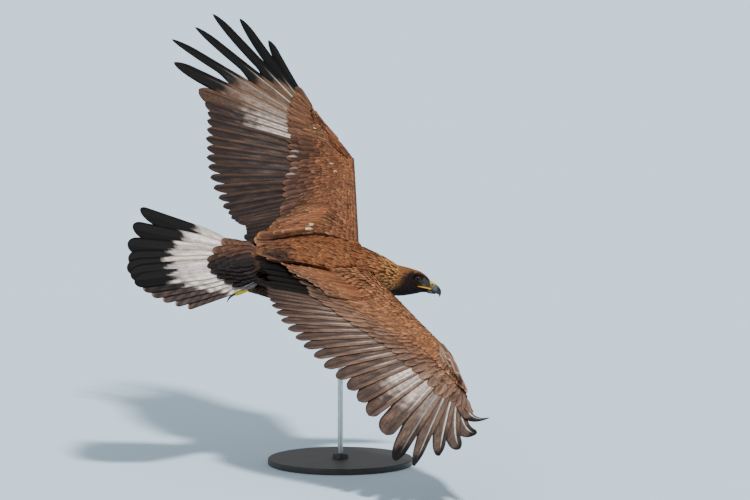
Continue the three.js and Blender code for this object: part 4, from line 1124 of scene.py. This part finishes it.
for count, fan, end, rise in (
    (12, 0.9, [(-1, 104), (0, 150), (1, 130)], (-6, -5)),
    (11, 0.84, [(-1, 84), (0, 118), (1, 100)], (-9, -8)),
    (10, 0.76, [(-1, 62), (0, 86), (1, 72)], (-13, -12)),
    (9, 0.68, [(-1, 40), (0, 58), (1, 48)], (-17, -16)),
):
    tail_row(count, fan, 2, end, rise, 0.5, 17, 0.4, 0.28, undertail_colour, under=True)
tail_piece = tail.build("tail_feathers", VANE, "tail_feathers")
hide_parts("tail")

# Body coat


def body_tone(u, turn):
    """Base and edge tones of the body's feathers."""
    n = len(u)
    wide = np.abs(turn)
    low = smooth((wide - 70) / 40)
    rump = smooth((-u - 20) / 60)
    # painted shade: dark on the rump's top and right side, where the right wing's scapulars shade it
    dark = rump * smooth((40 - turn) / 60)
    neck = smooth((u - 160) / 50)
    gold = neck * (1 - smooth((wide - 96) / 26))
    beside = smooth((wide - 44) / 30)
    base = mix(tone(112, 70, 49), tone(62, 43, 35), low)
    base = mix(base, tone(84, 60, 48), rump * (1 - low))
    base = mix(base, tone(34, 28, 27), dark * 0.9)
    base = mix(base, tone(46, 36, 33), smooth((-u - 140) / 50) * 0.8)
    base = mix(base, mix(tone(76, 48, 34), tone(36, 27, 24), beside), gold * 0.9)
    base = mix(base, tone(40, 31, 28), neck * smooth((wide - 88) / 24))
    edge = mix(tone(164, 116, 84), tone(60, 48, 44), dark * 0.9)
    hackle = beside * (0.35 + 0.35 * np.sin(u * 2.7 + turn * 1.3))
    edge = mix(edge, mix(tone(226, 166, 112), tone(112, 78, 56), hackle), gold)
    edge = mix(edge, tone(92, 64, 48), low * 0.85 * (1 - gold))
    edge = mix(edge, tone(62, 48, 42), neck * smooth((wide - 96) / 24))
    return varied(base, n, 0.24), varied(edge, n, 0.16)


def body_place(u, turn, out):
    """Body points that carry on behind the body over the tail's block."""
    past = np.maximum(BODY_START - u, 0)
    p = body_point(np.maximum(u, BODY_START), turn, out)
    middle = np.array([BODY_START, -13.0, -3.0])
    p = middle + (p - middle) * (1 - 0.4 * past / BLOCK_END)[..., None]
    return p + past[..., None] * np.array([-1, -0.1, -0.03])


def body_coat(batch, rows, spacing, long, half, **looks):
    """Rows of feathers round the body; length and half width are keyed by place along it."""
    def count(u):
        half_width, top = body_section(np.array(max(u, BODY_START)))[3:5]
        return 2 * np.pi * (half_width + top) / 2 / spacing

    u, turn = quincunx(rows, count, -180, 180, 0.3)
    n = len(u)
    s = np.linspace(0, 1, 7)
    length = keyed(long, u) * (1 + 0.14 * rng.normal(size=n))
    wide = np.abs(turn)
    drift = 6 * smooth((wide - 30) / 40) * np.sign(turn) * (1 - smooth((wide - 110) / 40))
    line = body_place(u[:, None] - length[:, None] * s, turn[:, None] + drift[:, None] * s, -4)
    depth = keyed([(-240, 6), (150, BODY_COAT), (210, 4.4), (246, 2.8)], u)
    line, normal, far = settle(line, -1 + (depth[:, None] + 1) * s ** 0.85)
    keep = far[:, :3].max(1) < 12
    base, edge = body_tone(u, turn)
    half = keyed(half, u) * (1 + 0.12 * rng.normal(size=n))
    contour(batch, *(v[keep] for v in (line, normal, half, body_spot(u, turn), base, edge)), arch=0.09,
            tilt=0.1, across=5, shaft=0.6, **looks)


def flanks(batch, side):
    """Longer loose feathers that close the space between the rump and a thigh."""
    u, turn = quincunx(np.arange(-150, -84, 11.0), lambda u: 9, 96, 168, 0.3)
    n = len(u)
    s = np.linspace(0, 1, 8)
    along = u[:, None] - (62 + 8 * rng.normal(size=n))[:, None] * s
    round_body = side * (turn[:, None] + 0 * s)
    line = body_place(along, round_body, 1 + (16 + 14 * smooth((140 - turn) / 30))[:, None] * smooth(s * 1.3))
    ahead = unit(np.gradient(line, axis=1))
    out = line - body_place(along, round_body, -10)
    normal = unit(out - ahead * (out * ahead).sum(-1, keepdims=True))
    half = 11 + rng.normal(0, 1, n)
    body_base, body_edge = body_tone(u, side * turn)
    front = smooth((u + 128) / 44)
    base = mix(varied(tone(40, 31, 28), n, 0.2), body_base, front)
    edge = mix(varied(tone(72, 56, 48), n, 0.2), body_edge, front)
    contour(batch, line, normal, half, body_spot(u, side * turn), base, edge, point=0.3, fringe=0.5, across=5)


back_coat, flank_coat, front_coat = Batch(), Batch(), Batch()
body_coat(back_coat, np.arange(-226, 70, 9.5), 12, [(-240, 36), (-150, 46), (0, 54)], [(-240, 10), (0, 12)],
          point=0.25, fringe=0.45)
back_coat.build("body_coat_back", COAT, "brown_feathers")
for side, _ in SIDES:
    flanks(flank_coat, side)
flank_coat.build("body_coat_flanks", COAT, "brown_feathers")
body_coat(front_coat, np.arange(70, 150, 7.5), 9.5, [(70, 42), (150, 42)], [(70, 10), (150, 7)], point=0.35,
          fringe=0.45)
body_coat(front_coat, np.arange(150, 248, 6.2), 8, [(150, 38), (246, 26)], [(150, 6.4), (246, 4.6)],
          point=0.7, fringe=1.0, tipped=1.0)
front_coat.build("body_coat_front", COAT, "golden_feathers")

# Leg feathers

for side, name in SIDES:
    coat = Batch()
    around = [(0, 24), (0.35, 27), (1, 13)]
    t, turn = quincunx(np.linspace(0.0, 0.97, 34), lambda t: keyed(around, t), -180, 180)
    n = len(t)
    s = np.linspace(0, 1, 6)
    long = keyed([(0, 30), (0.5, 24), (1, 12)], t) * (1 + 0.1 * rng.normal(size=n))
    down = np.minimum(t[:, None] + long[:, None] * s / LEG_LONG, 1.0)
    line = leg_point(down, turn[:, None] + 0 * s, -3, side)
    inner = bell(turn - 40 * side, 50)
    depth = LEG_COAT - 4 * smooth(t * 2 - 0.6) + 10 * inner * smooth((t - 0.3) / 0.3)
    line, normal, far = settle(line, -0.6 + (depth[:, None] + 0.6) * s ** 0.85)
    keep = far.max(1) < 8
    # painted shade: the leg feathers, paler buff in life, are painted dark brown for the shade under the body
    # and tail, lightening towards the ankle
    ankle = smooth((t - 0.8) / 0.2)
    base = varied(mix(tone(52, 38, 32), tone(104, 82, 64), ankle), n, 0.16)
    edge = varied(mix(tone(88, 66, 54), tone(150, 122, 96), ankle), n, 0.1)
    half = keyed([(0, 6.4), (0.5, 5), (1, 2.8)], t)
    contour(coat, *(v[keep] for v in (line, normal, half, turn_spot("leg" + name, t, turn), base, edge)))
    coat.build("leg_coat_" + name, COAT, "golden_feathers")

# Head coat: smallest on the face

EYE_AT, EYE_BALL = np.array([0, 18.5, -0.5]), 11.5
LID_RADIUS, LID_OUT, LID_THICK = 8.4, 7.6, 1.2
MOUTH_BACK, MOUTH_LONG, MOUTH_HIGH, MOUTH_DROP = 1.5, 33.5, -18.7, 2.8


def head_tone(x, turn):
    """Base and edge tones: golden nape, thin rufous crown, blackish face and throat, grey lores."""
    n = len(x)
    turn = np.abs(turn)
    back = smooth((-x - 14) / 30)
    rim = keyed([(-60, 92), (-34, 62), (-16, 30), (10, 16), (34, 10)], x)
    low = smooth((turn - rim + rng.normal(0, 7, n) * smooth((10 - x) / 20)) / 26 + 0.2)
    lores = smooth((x - 11) / 12) * smooth((turn - 34) / 15) * (1 - smooth((turn - 100) / 14))
    crown = mix(tone(122, 82, 58), tone(96, 64, 45), back)
    face = mix(tone(30, 24, 23), tone(52, 37, 30), back)
    base = mix(mix(crown, face, low), tone(82, 80, 72), lores * 0.85)
    edge = mix(tone(190, 136, 92), tone(54, 42, 38), low)
    bright = back * (1 - smooth((turn - rim - 34) / 24)) * rng.uniform(0.3, 1, n)
    edge = mix(edge, tone(214, 156, 106), bright)
    edge = mix(edge, tone(132, 128, 114), lores)
    return varied(base, n, 0.16), varied(edge, n, 0.14)


def clear_of_face(p):
    """Whether points of the head stay off the mouth's line."""
    t = (p[:, 0] - MOUTH_BACK) / MOUTH_LONG
    return ~((t > -0.03) & (np.abs(p[:, 2] - MOUTH_HIGH + MOUTH_DROP * t) < 2.4) & (np.abs(p[:, 1]) > 5))


def head_coat():
    rows = np.concatenate([np.arange(-62, -20, 3.0), np.arange(-20, 10, 2.3), np.arange(10, 34.5, 1.7)])
    x, turn = quincunx(rows, lambda x: keyed([(-64, 74), (-20, 84), (10, 88), (33, 58)], x), -180, 180)
    x = np.clip(x, -63, 34.5)
    s = np.linspace(0, 1, 5)
    long = keyed([(-64, 28), (-40, 21), (-20, 14), (5, 9), (20, 6), (34, 4)], x)
    long = long * (1 + 0.1 * rng.normal(size=len(x)))
    droop = 26 * smooth((np.abs(turn) - 40) / 50) * smooth((x + 10) / 30) * np.sign(turn) * 0.25
    line = head_point(x[:, None] - long[:, None] * s, turn[:, None] + droop[:, None] * s, -1)
    line, normal, far = settle(line, -0.3 + (HEAD_COAT + 0.3) * s ** 0.85)
    base, edge = head_tone(x, turn)
    keep = far[:, :2].max(1) < 5
    for p, spare in ((head_point(x, turn, 0), 1.0), (line[:, 2], 0.86)):
        p = (p - HEAD_AT) @ head_turn
        eye = ((p[:, 0] - EYE_AT[0] - 0.6) / 10.6) ** 2 + ((p[:, 2] - EYE_AT[2]) / 8.2) ** 2
        keep &= ((eye > spare) | (np.abs(p[:, 1]) < 14)) & clear_of_face(p)
    half = keyed([(-64, 3.4), (-20, 2.5), (10, 1.7), (34, 1.1)], x)
    batch = Batch()
    spots = turn_spot("head", (x - HEAD_START) / 100, turn)
    contour(batch, *(v[keep] for v in (line, normal, half, spots, base, edge)),
            thick=0.25, point=0.45, arch=0.1, tilt=0.05, shaft=0.55, tipped=0.5)
    batch.build("head_coat", COAT, "golden_feathers")


head_coat()

# Bill, cere, eyes and lids: each ring of the bill by its top, its bottom and its half width

CERE = [((33.4, -2.4), (33.4, -21.2), 13.2), ((40, -4.4), (40, -25), 11.4), ((46, -7), (46, -29.4), 9.8)]
UPPER_BILL = [
    ((46.4, -7.2), (46.4, -29.7), 9.7), ((52, -10.4), (51, -32.4), 8.7), ((58.2, -14.4), (56, -33.6), 7.2),
    ((63.2, -19.6), (59.6, -34.4), 5.8), ((66.2, -25.6), (61.4, -35.4), 4.4),
    ((66.8, -31.6), (62.2, -36.8), 3.1), ((65.4, -37.4), (62.4, -38.8), 1.8),
    ((63.4, -41.2), (62.8, -41), 0.5),
]
LOWER_BILL = [
    ((24, -20.6), (24, -34), 8.6), ((34, -21), (34, -36), 9), ((40, -24.6), (40, -36), 8.2),
    ((46, -29.4), (46, -35.6), 6.6), ((50, -32), (50, -35.2), 4.4), ((52, -33.2), (52, -34.6), 2.2),
]


def bill_rings(sections, count=72, stations=64):
    keys = [(i / (len(sections) - 1), (*c, *t, half)) for i, (c, t, half) in enumerate(sections)]
    cx, cz, tx, tz, half = np.moveaxis(keyed(keys, np.linspace(0, 1, stations)), -1, 0)
    top, low = np.stack([cx, 0 * cx, cz], -1), np.stack([tx, 0 * tx, tz], -1)
    high = np.linalg.norm(top - low, axis=-1) / 2
    y, z = np.sin(circle(count)), np.cos(circle(count))
    y = np.sign(y) * np.abs(y) ** np.where(z < 0, 0.8, 1.05)
    points = ((top + low) / 2)[:, None] + np.array([0, 1, 0]) * (half[:, None] * y)[..., None]
    return points + unit(top - low)[:, None] * (high[:, None] * z)[..., None]


def head_piece(name, points, faces, material, slot, colours):
    """A painted piece from points of the head's frame."""
    piece = new_object(name, to_world(from_head(points)), faces, slot, material)
    paint(piece.data, np.broadcast_to(colours, np.shape(points)))
    return piece


def horn_tone(p):
    """Grey at the bill's base and sides, black along the culmen and at the hook."""
    hook = smooth((p[:, 0] + 0.3 * (-20 - p[:, 2]) - 47) / 13)
    ridge = 1 - smooth(np.abs(p[:, 1]) / 5)
    return mix(tone(82, 87, 82), tone(16, 16, 18), clip(hook + ridge * 0.6))


points, faces = loft(bill_rings(UPPER_BILL))
piece = head_piece("bill_upper_fine", points, faces, HORN, "horn", horn_tone(points))
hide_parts("bill_upper")
points, faces = loft(bill_rings(LOWER_BILL))
piece = head_piece("bill_lower_fine", points, faces, HORN, "horn", horn_tone(points + [6, 0, 0]) * 0.55)
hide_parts("bill_lower")

NOSTRIL = np.array([40.6, 9.6, -10.4])
rings = bill_rings(CERE, 96, 40)
far = rings[..., 0]
below = rings[..., 2] + 2.4 + 0.36 * (far - 33.4)
colours = mix(tone(206, 158, 52, 1.1), tone(98, 96, 68), smooth((-3.2 - below) / 3))
colours = mix(colours, tone(84, 88, 80), smooth((far - 40) / 5) * smooth((-3 - below) / 3))
colours = mix(colours, tone(176, 138, 48), smooth((-15 - below) / 3) * (1 - smooth((far - 38) / 5)))
for side, _ in SIDES:
    p = rings - NOSTRIL * [1, side, 1]
    along = (p[..., 0] * 0.86 + p[..., 2] * 0.5) / 3.0
    over = (-p[..., 0] * 0.5 + p[..., 2] * 0.86) / 1.5
    dent = np.exp(-(along ** 2 + over ** 2) * 1.2) * (np.sign(rings[..., 1]) == side)
    rings = rings - np.array([0, side, 0]) * (2.8 * dent)[..., None]
    # painted shade: the nostril's dent darkened almost to black for the shade inside it
    colours = mix(colours, tone(30, 26, 22), clip(dent * 1.6))
points, faces = loft(rings)
cere = head_piece("cere_fine", points, faces, WAX, "yellow_skin", colours.reshape(-1, 3))
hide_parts("cere")


def tube(path, radii, count=16, flat=1.0, upward=(0, 0, 1)):
    """Rings along a path (m, 3) in millimetres."""
    along = unit(np.gradient(path, axis=0))
    across = unit(np.cross(np.array(upward, float), along))
    high = np.cross(along, across)
    a = circle(count)
    r = np.broadcast_to(np.asarray(radii, float), (len(path),))[:, None]
    ring = path[:, None] + across[:, None] * (r * np.cos(a))[..., None]
    return ring + high[:, None] * (flat * r * np.sin(a))[..., None]


def gape(side, name):
    """The yellow flange of the mouth's corner, and a dark tube below it as painted shadow in the gap of the
    mouth.
    """
    t = np.linspace(0, 1, 26)
    x, z = MOUTH_BACK + MOUTH_LONG * t, MOUTH_HIGH - MOUTH_DROP * t
    half, top, bottom = np.moveaxis(keyed(HEAD, x), -1, 0)
    middle = (top - bottom) / 2
    y = half * np.sqrt(1 - ((z - middle) / (bottom + middle)) ** 2) - 0.5
    path = np.stack([x, side * y, z], -1)
    whole = np.concatenate([path, [[39, side * y[-1] * 0.86, -22.1]]])
    radius = 1.6 * np.sin(np.linspace(0.06, 1, len(whole)) * np.pi * 0.62 + 0.12)
    head_piece("gape_" + name, *loft(tube(whole, radius)), WAX, "yellow_skin", tone(226, 158, 34, 1.1))
    # painted shadow: a thin dark tube along the gap below the flange
    dark = tube(path + [0, -side * 0.9, -1.9], 0.9, 10)
    head_piece("mouth_shadow_line_" + name, *loft(dark), WAX, "yellow_skin", tone(40, 30, 26))


def eyeball(side, name):
    """A ball with a bulging front, dark brown round a black pupil."""
    lat, lon = grid(np.linspace(0, np.pi, 49)[1:-1], circle(64))
    outward = np.stack([np.sin(lat) * np.cos(lon), side * np.cos(lat), np.sin(lat) * np.sin(lon)], -1)
    bulge = EYE_BALL + 0.9 * smooth((0.62 - lat) / 0.3)
    far = lat.reshape(-1)
    c = mix(tone(58, 35, 20), tone(6, 5, 5), 1 - smooth((far - 0.36) / 0.05))
    c = mix(c, tone(14, 11, 10), smooth((far - 0.58) / 0.08))
    points, faces = loft(EYE_AT * [1, side, 1] + outward * bulge[..., None])
    return head_piece("eye_fine_" + name, points, faces, EYE, "eye", c)


def lids(side, name, m=72, n=16):
    """A fine rim round the eye, paler below."""
    a, b = grid(circle(m), circle(n))
    ring, over = LID_RADIUS + LID_THICK * np.cos(b), LID_OUT + LID_THICK * np.sin(b)
    lid = np.stack([ring * np.cos(a) * 1.1, over, ring * np.sin(a) * 0.8], -1)
    lid = (lid @ turned((-12, "Z")).T + [0.8, EYE_AT[1], EYE_AT[2]]) * [1, side, 1]
    faces = [(i * n + j, i * n + (j + 1) % n, (i + 1) % m * n + (j + 1) % n, (i + 1) % m * n + j)
             for i in range(m) for j in range(n)]
    shade = mix(tone(24, 20, 19), tone(58, 50, 46), smooth(-np.sin(a) * 1.6))
    head_piece("lids_" + name, lid.reshape(-1, 3), faces, WAX, "brown_feathers", shade.reshape(-1, 3))


for side, name in SIDES:
    gape(side, name)
    eye = eyeball(side, name)
    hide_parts("eye_" + name)
    lids(side, name)

# Feet and claws

TOES = [  # root, end and radius
    ((-190, 29, -66), (-236, 21, -64), 6), ((-192, 37, -66), (-246, 37, -66), 6.4),
    ((-190, 45, -66), (-238, 55, -66), 6), ((-188, 37, -72), (-214, 33, -92), 6.6),
]
CLAW_CURL = 1.9  # radians from its root to its tip


def toe(a, b, radius):
    """A toe with scutes above and pads along it."""
    t = np.linspace(0, 1, 61)
    bend = (a + (b - a) * 0.55 + [0, 0, -3]) - (a + b) / 2
    path = a + (b - a) * t[:, None] + bend * (4 * t * (1 - t))[:, None]
    scute = 0.3 * np.abs(np.sin(t * np.pi * 11))
    pads = 0.5 * np.sin(t * np.pi * 3) ** 2
    r = radius * (1 - 0.25 * t) * np.sqrt(np.clip(1 - clip((t - 0.94) / 0.06) ** 2 * 0.8, 0.05, 1))
    return tube(path, r - 0.3 + scute + pads, 28, upward=(0, 1, 0.2))


def claw_rings(a, b, radius):
    ahead, down = unit(b - a), np.array([0, 0, -1])
    t = np.linspace(0, 1, 28)
    turn, bow = t * CLAW_CURL, radius * 5 / CLAW_CURL
    path = b + ahead * (bow * np.sin(turn) - 2)[:, None] + down * (bow * (1 - np.cos(turn)))[:, None]
    return tube(path, radius * 0.66 * (1 - 0.93 * t ** 1.3), 24, flat=1.1, upward=unit(np.cross(ahead, down)))


for side, name in SIDES:
    feet = []
    for i, (start, end, radius) in enumerate(TOES):
        a, b = np.array(start, float) * [1, side, 1], np.array(end, float) * [1, side, 1]
        feet.append(loft(toe(a, b, radius)))
        points, faces = loft(claw_rings(a, b, radius))
        claw = new_object(f"claw_fine_{name}_{i + 1}", to_world(points), faces, "horn", HORN)
        paint(claw.data, np.broadcast_to(tone(30, 28, 28), points.shape))
        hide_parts(f"claw_{name}_{i + 1}")
    points, faces = joined(feet)
    foot = new_object("foot_fine_" + name, to_world(points), faces, "yellow_skin", SCALE)
    paint(foot.data, np.broadcast_to(tone(214, 176, 60), points.shape))
    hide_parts("foot_" + name)

# Skin tone: like the nearest feathers', a little darker as painted shade where it shows between them

places = np.empty(len(skin.data.vertices) * 3)
skin.data.vertices.foreach_get("co", places)
tones = np.concatenate([c for _, c in SEEDS])
near = KDTree(len(tones))
for i, root in enumerate(np.concatenate([p for p, _ in SEEDS])):
    near.insert(root, i)
near.balance()
paint(skin.data, 0.8 * tones[[near.find(p)[1] for p in places.reshape(-1, 3)]])

# Stand

PLATE_RADIUS, PLATE_TOP, ROUNDING, BEVEL = 190, 16, 4, 1.5
MIDDLE = 0.2  # radius at which the plate's rings start and end
COLLAR = [(23, PLATE_TOP), (22, 16.6), (19.6, 26.6), (18.4, 28)]  # radius and height round the rod
profile = [(MIDDLE, 0), (PLATE_RADIUS - BEVEL, 0), (PLATE_RADIUS, BEVEL)]
profile += [(PLATE_RADIUS, PLATE_TOP - ROUNDING)]
profile += [(PLATE_RADIUS - ROUNDING + ROUNDING * math.cos(a), PLATE_TOP - ROUNDING + ROUNDING * math.sin(a))
            for a in np.linspace(0, math.pi / 2, 8)[1:]]
profile += [*COLLAR, (MIDDLE, COLLAR[-1][1])]
turned_rings = np.array([[(r * math.cos(x), r * math.sin(x), z) for x in circle(128)] for r, z in profile])
points, faces = loft(turned_rings)
piece = new_object("stand_base_fine", points / 1000, faces, "stand_plate", PLATE, shaded=False)
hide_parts("stand_base")
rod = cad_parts["stand_rod"]
rod.data.materials.clear()
rod.data.materials.append(STEEL)

# Floor, camera and light

FLOOR = 40.0
floor_mesh = bpy.data.meshes.new("floor")
corners = [(-FLOOR, -FLOOR, 0), (FLOOR, -FLOOR, 0), (FLOOR, FLOOR, 0), (-FLOOR, FLOOR, 0)]
floor_mesh.from_pydata(corners, [], [(0, 1, 2, 3)])
floor = bpy.data.objects.new("floor", floor_mesh)
bpy.context.scene.collection.objects.link(floor)
floor_mesh.materials.append(GROUND)

AZIMUTH, ELEVATION, DISTANCE, LENS, SENSOR, CLIP_END = -21.0, 7.2, 16.0, 295.0, 36, 200
PHOTO = (750, 500)
AIM_PIXEL = (318, 264)  # where the trunk's middle stands in the photo


def toward(azimuth, elevation):
    a, e = math.radians(azimuth), math.radians(elevation)
    return Vector((math.sin(a) * math.cos(e), -math.cos(a) * math.cos(e), math.sin(e)))


back = toward(AZIMUTH, ELEVATION)
right = Vector((math.cos(math.radians(AZIMUTH)), math.sin(math.radians(AZIMUTH)), 0))
up = back.cross(right)
scale = DISTANCE / (LENS / SENSOR * PHOTO[0])
target = Vector((-BODY_BACK / 1000, 0, BODY_HEIGHT / 1000))
target -= right * (AIM_PIXEL[0] - PHOTO[0] / 2) * scale - up * (AIM_PIXEL[1] - PHOTO[1] / 2) * scale
lens = bpy.data.cameras.new("camera")
lens.lens, lens.sensor_width, lens.clip_end = LENS, SENSOR, CLIP_END
camera = bpy.data.objects.new("camera", lens)
facing = Matrix((right, up, back)).transposed().to_4x4()
camera.matrix_world = Matrix.Translation(target + back * DISTANCE) @ facing
bpy.context.scene.collection.objects.link(camera)
bpy.context.scene.camera = camera

SKY, SKY_STRENGTH = (0.91, 0.96, 1.0, 1), 0.53
SUNS = (("key", 3.6, 2, 54, 6), ("fill", 0.5, -60, 30, 40))  # name, strength, azimuth, elevation and breadth

world = bpy.data.worlds.new("sky")
bpy.context.scene.world = world
world.use_nodes = True
feed(world.node_tree, world.node_tree.nodes["Background"], {"Color": SKY, "Strength": SKY_STRENGTH})
for name, energy, azimuth, elevation, angle in SUNS:
    light = bpy.data.lights.new(name, "SUN")
    light.energy, light.angle = energy, math.radians(angle)
    lamp = bpy.data.objects.new(name, light)
    lamp.rotation_euler = toward(azimuth, elevation).to_track_quat("Z", "Y").to_euler()
    bpy.context.scene.collection.objects.link(lamp)
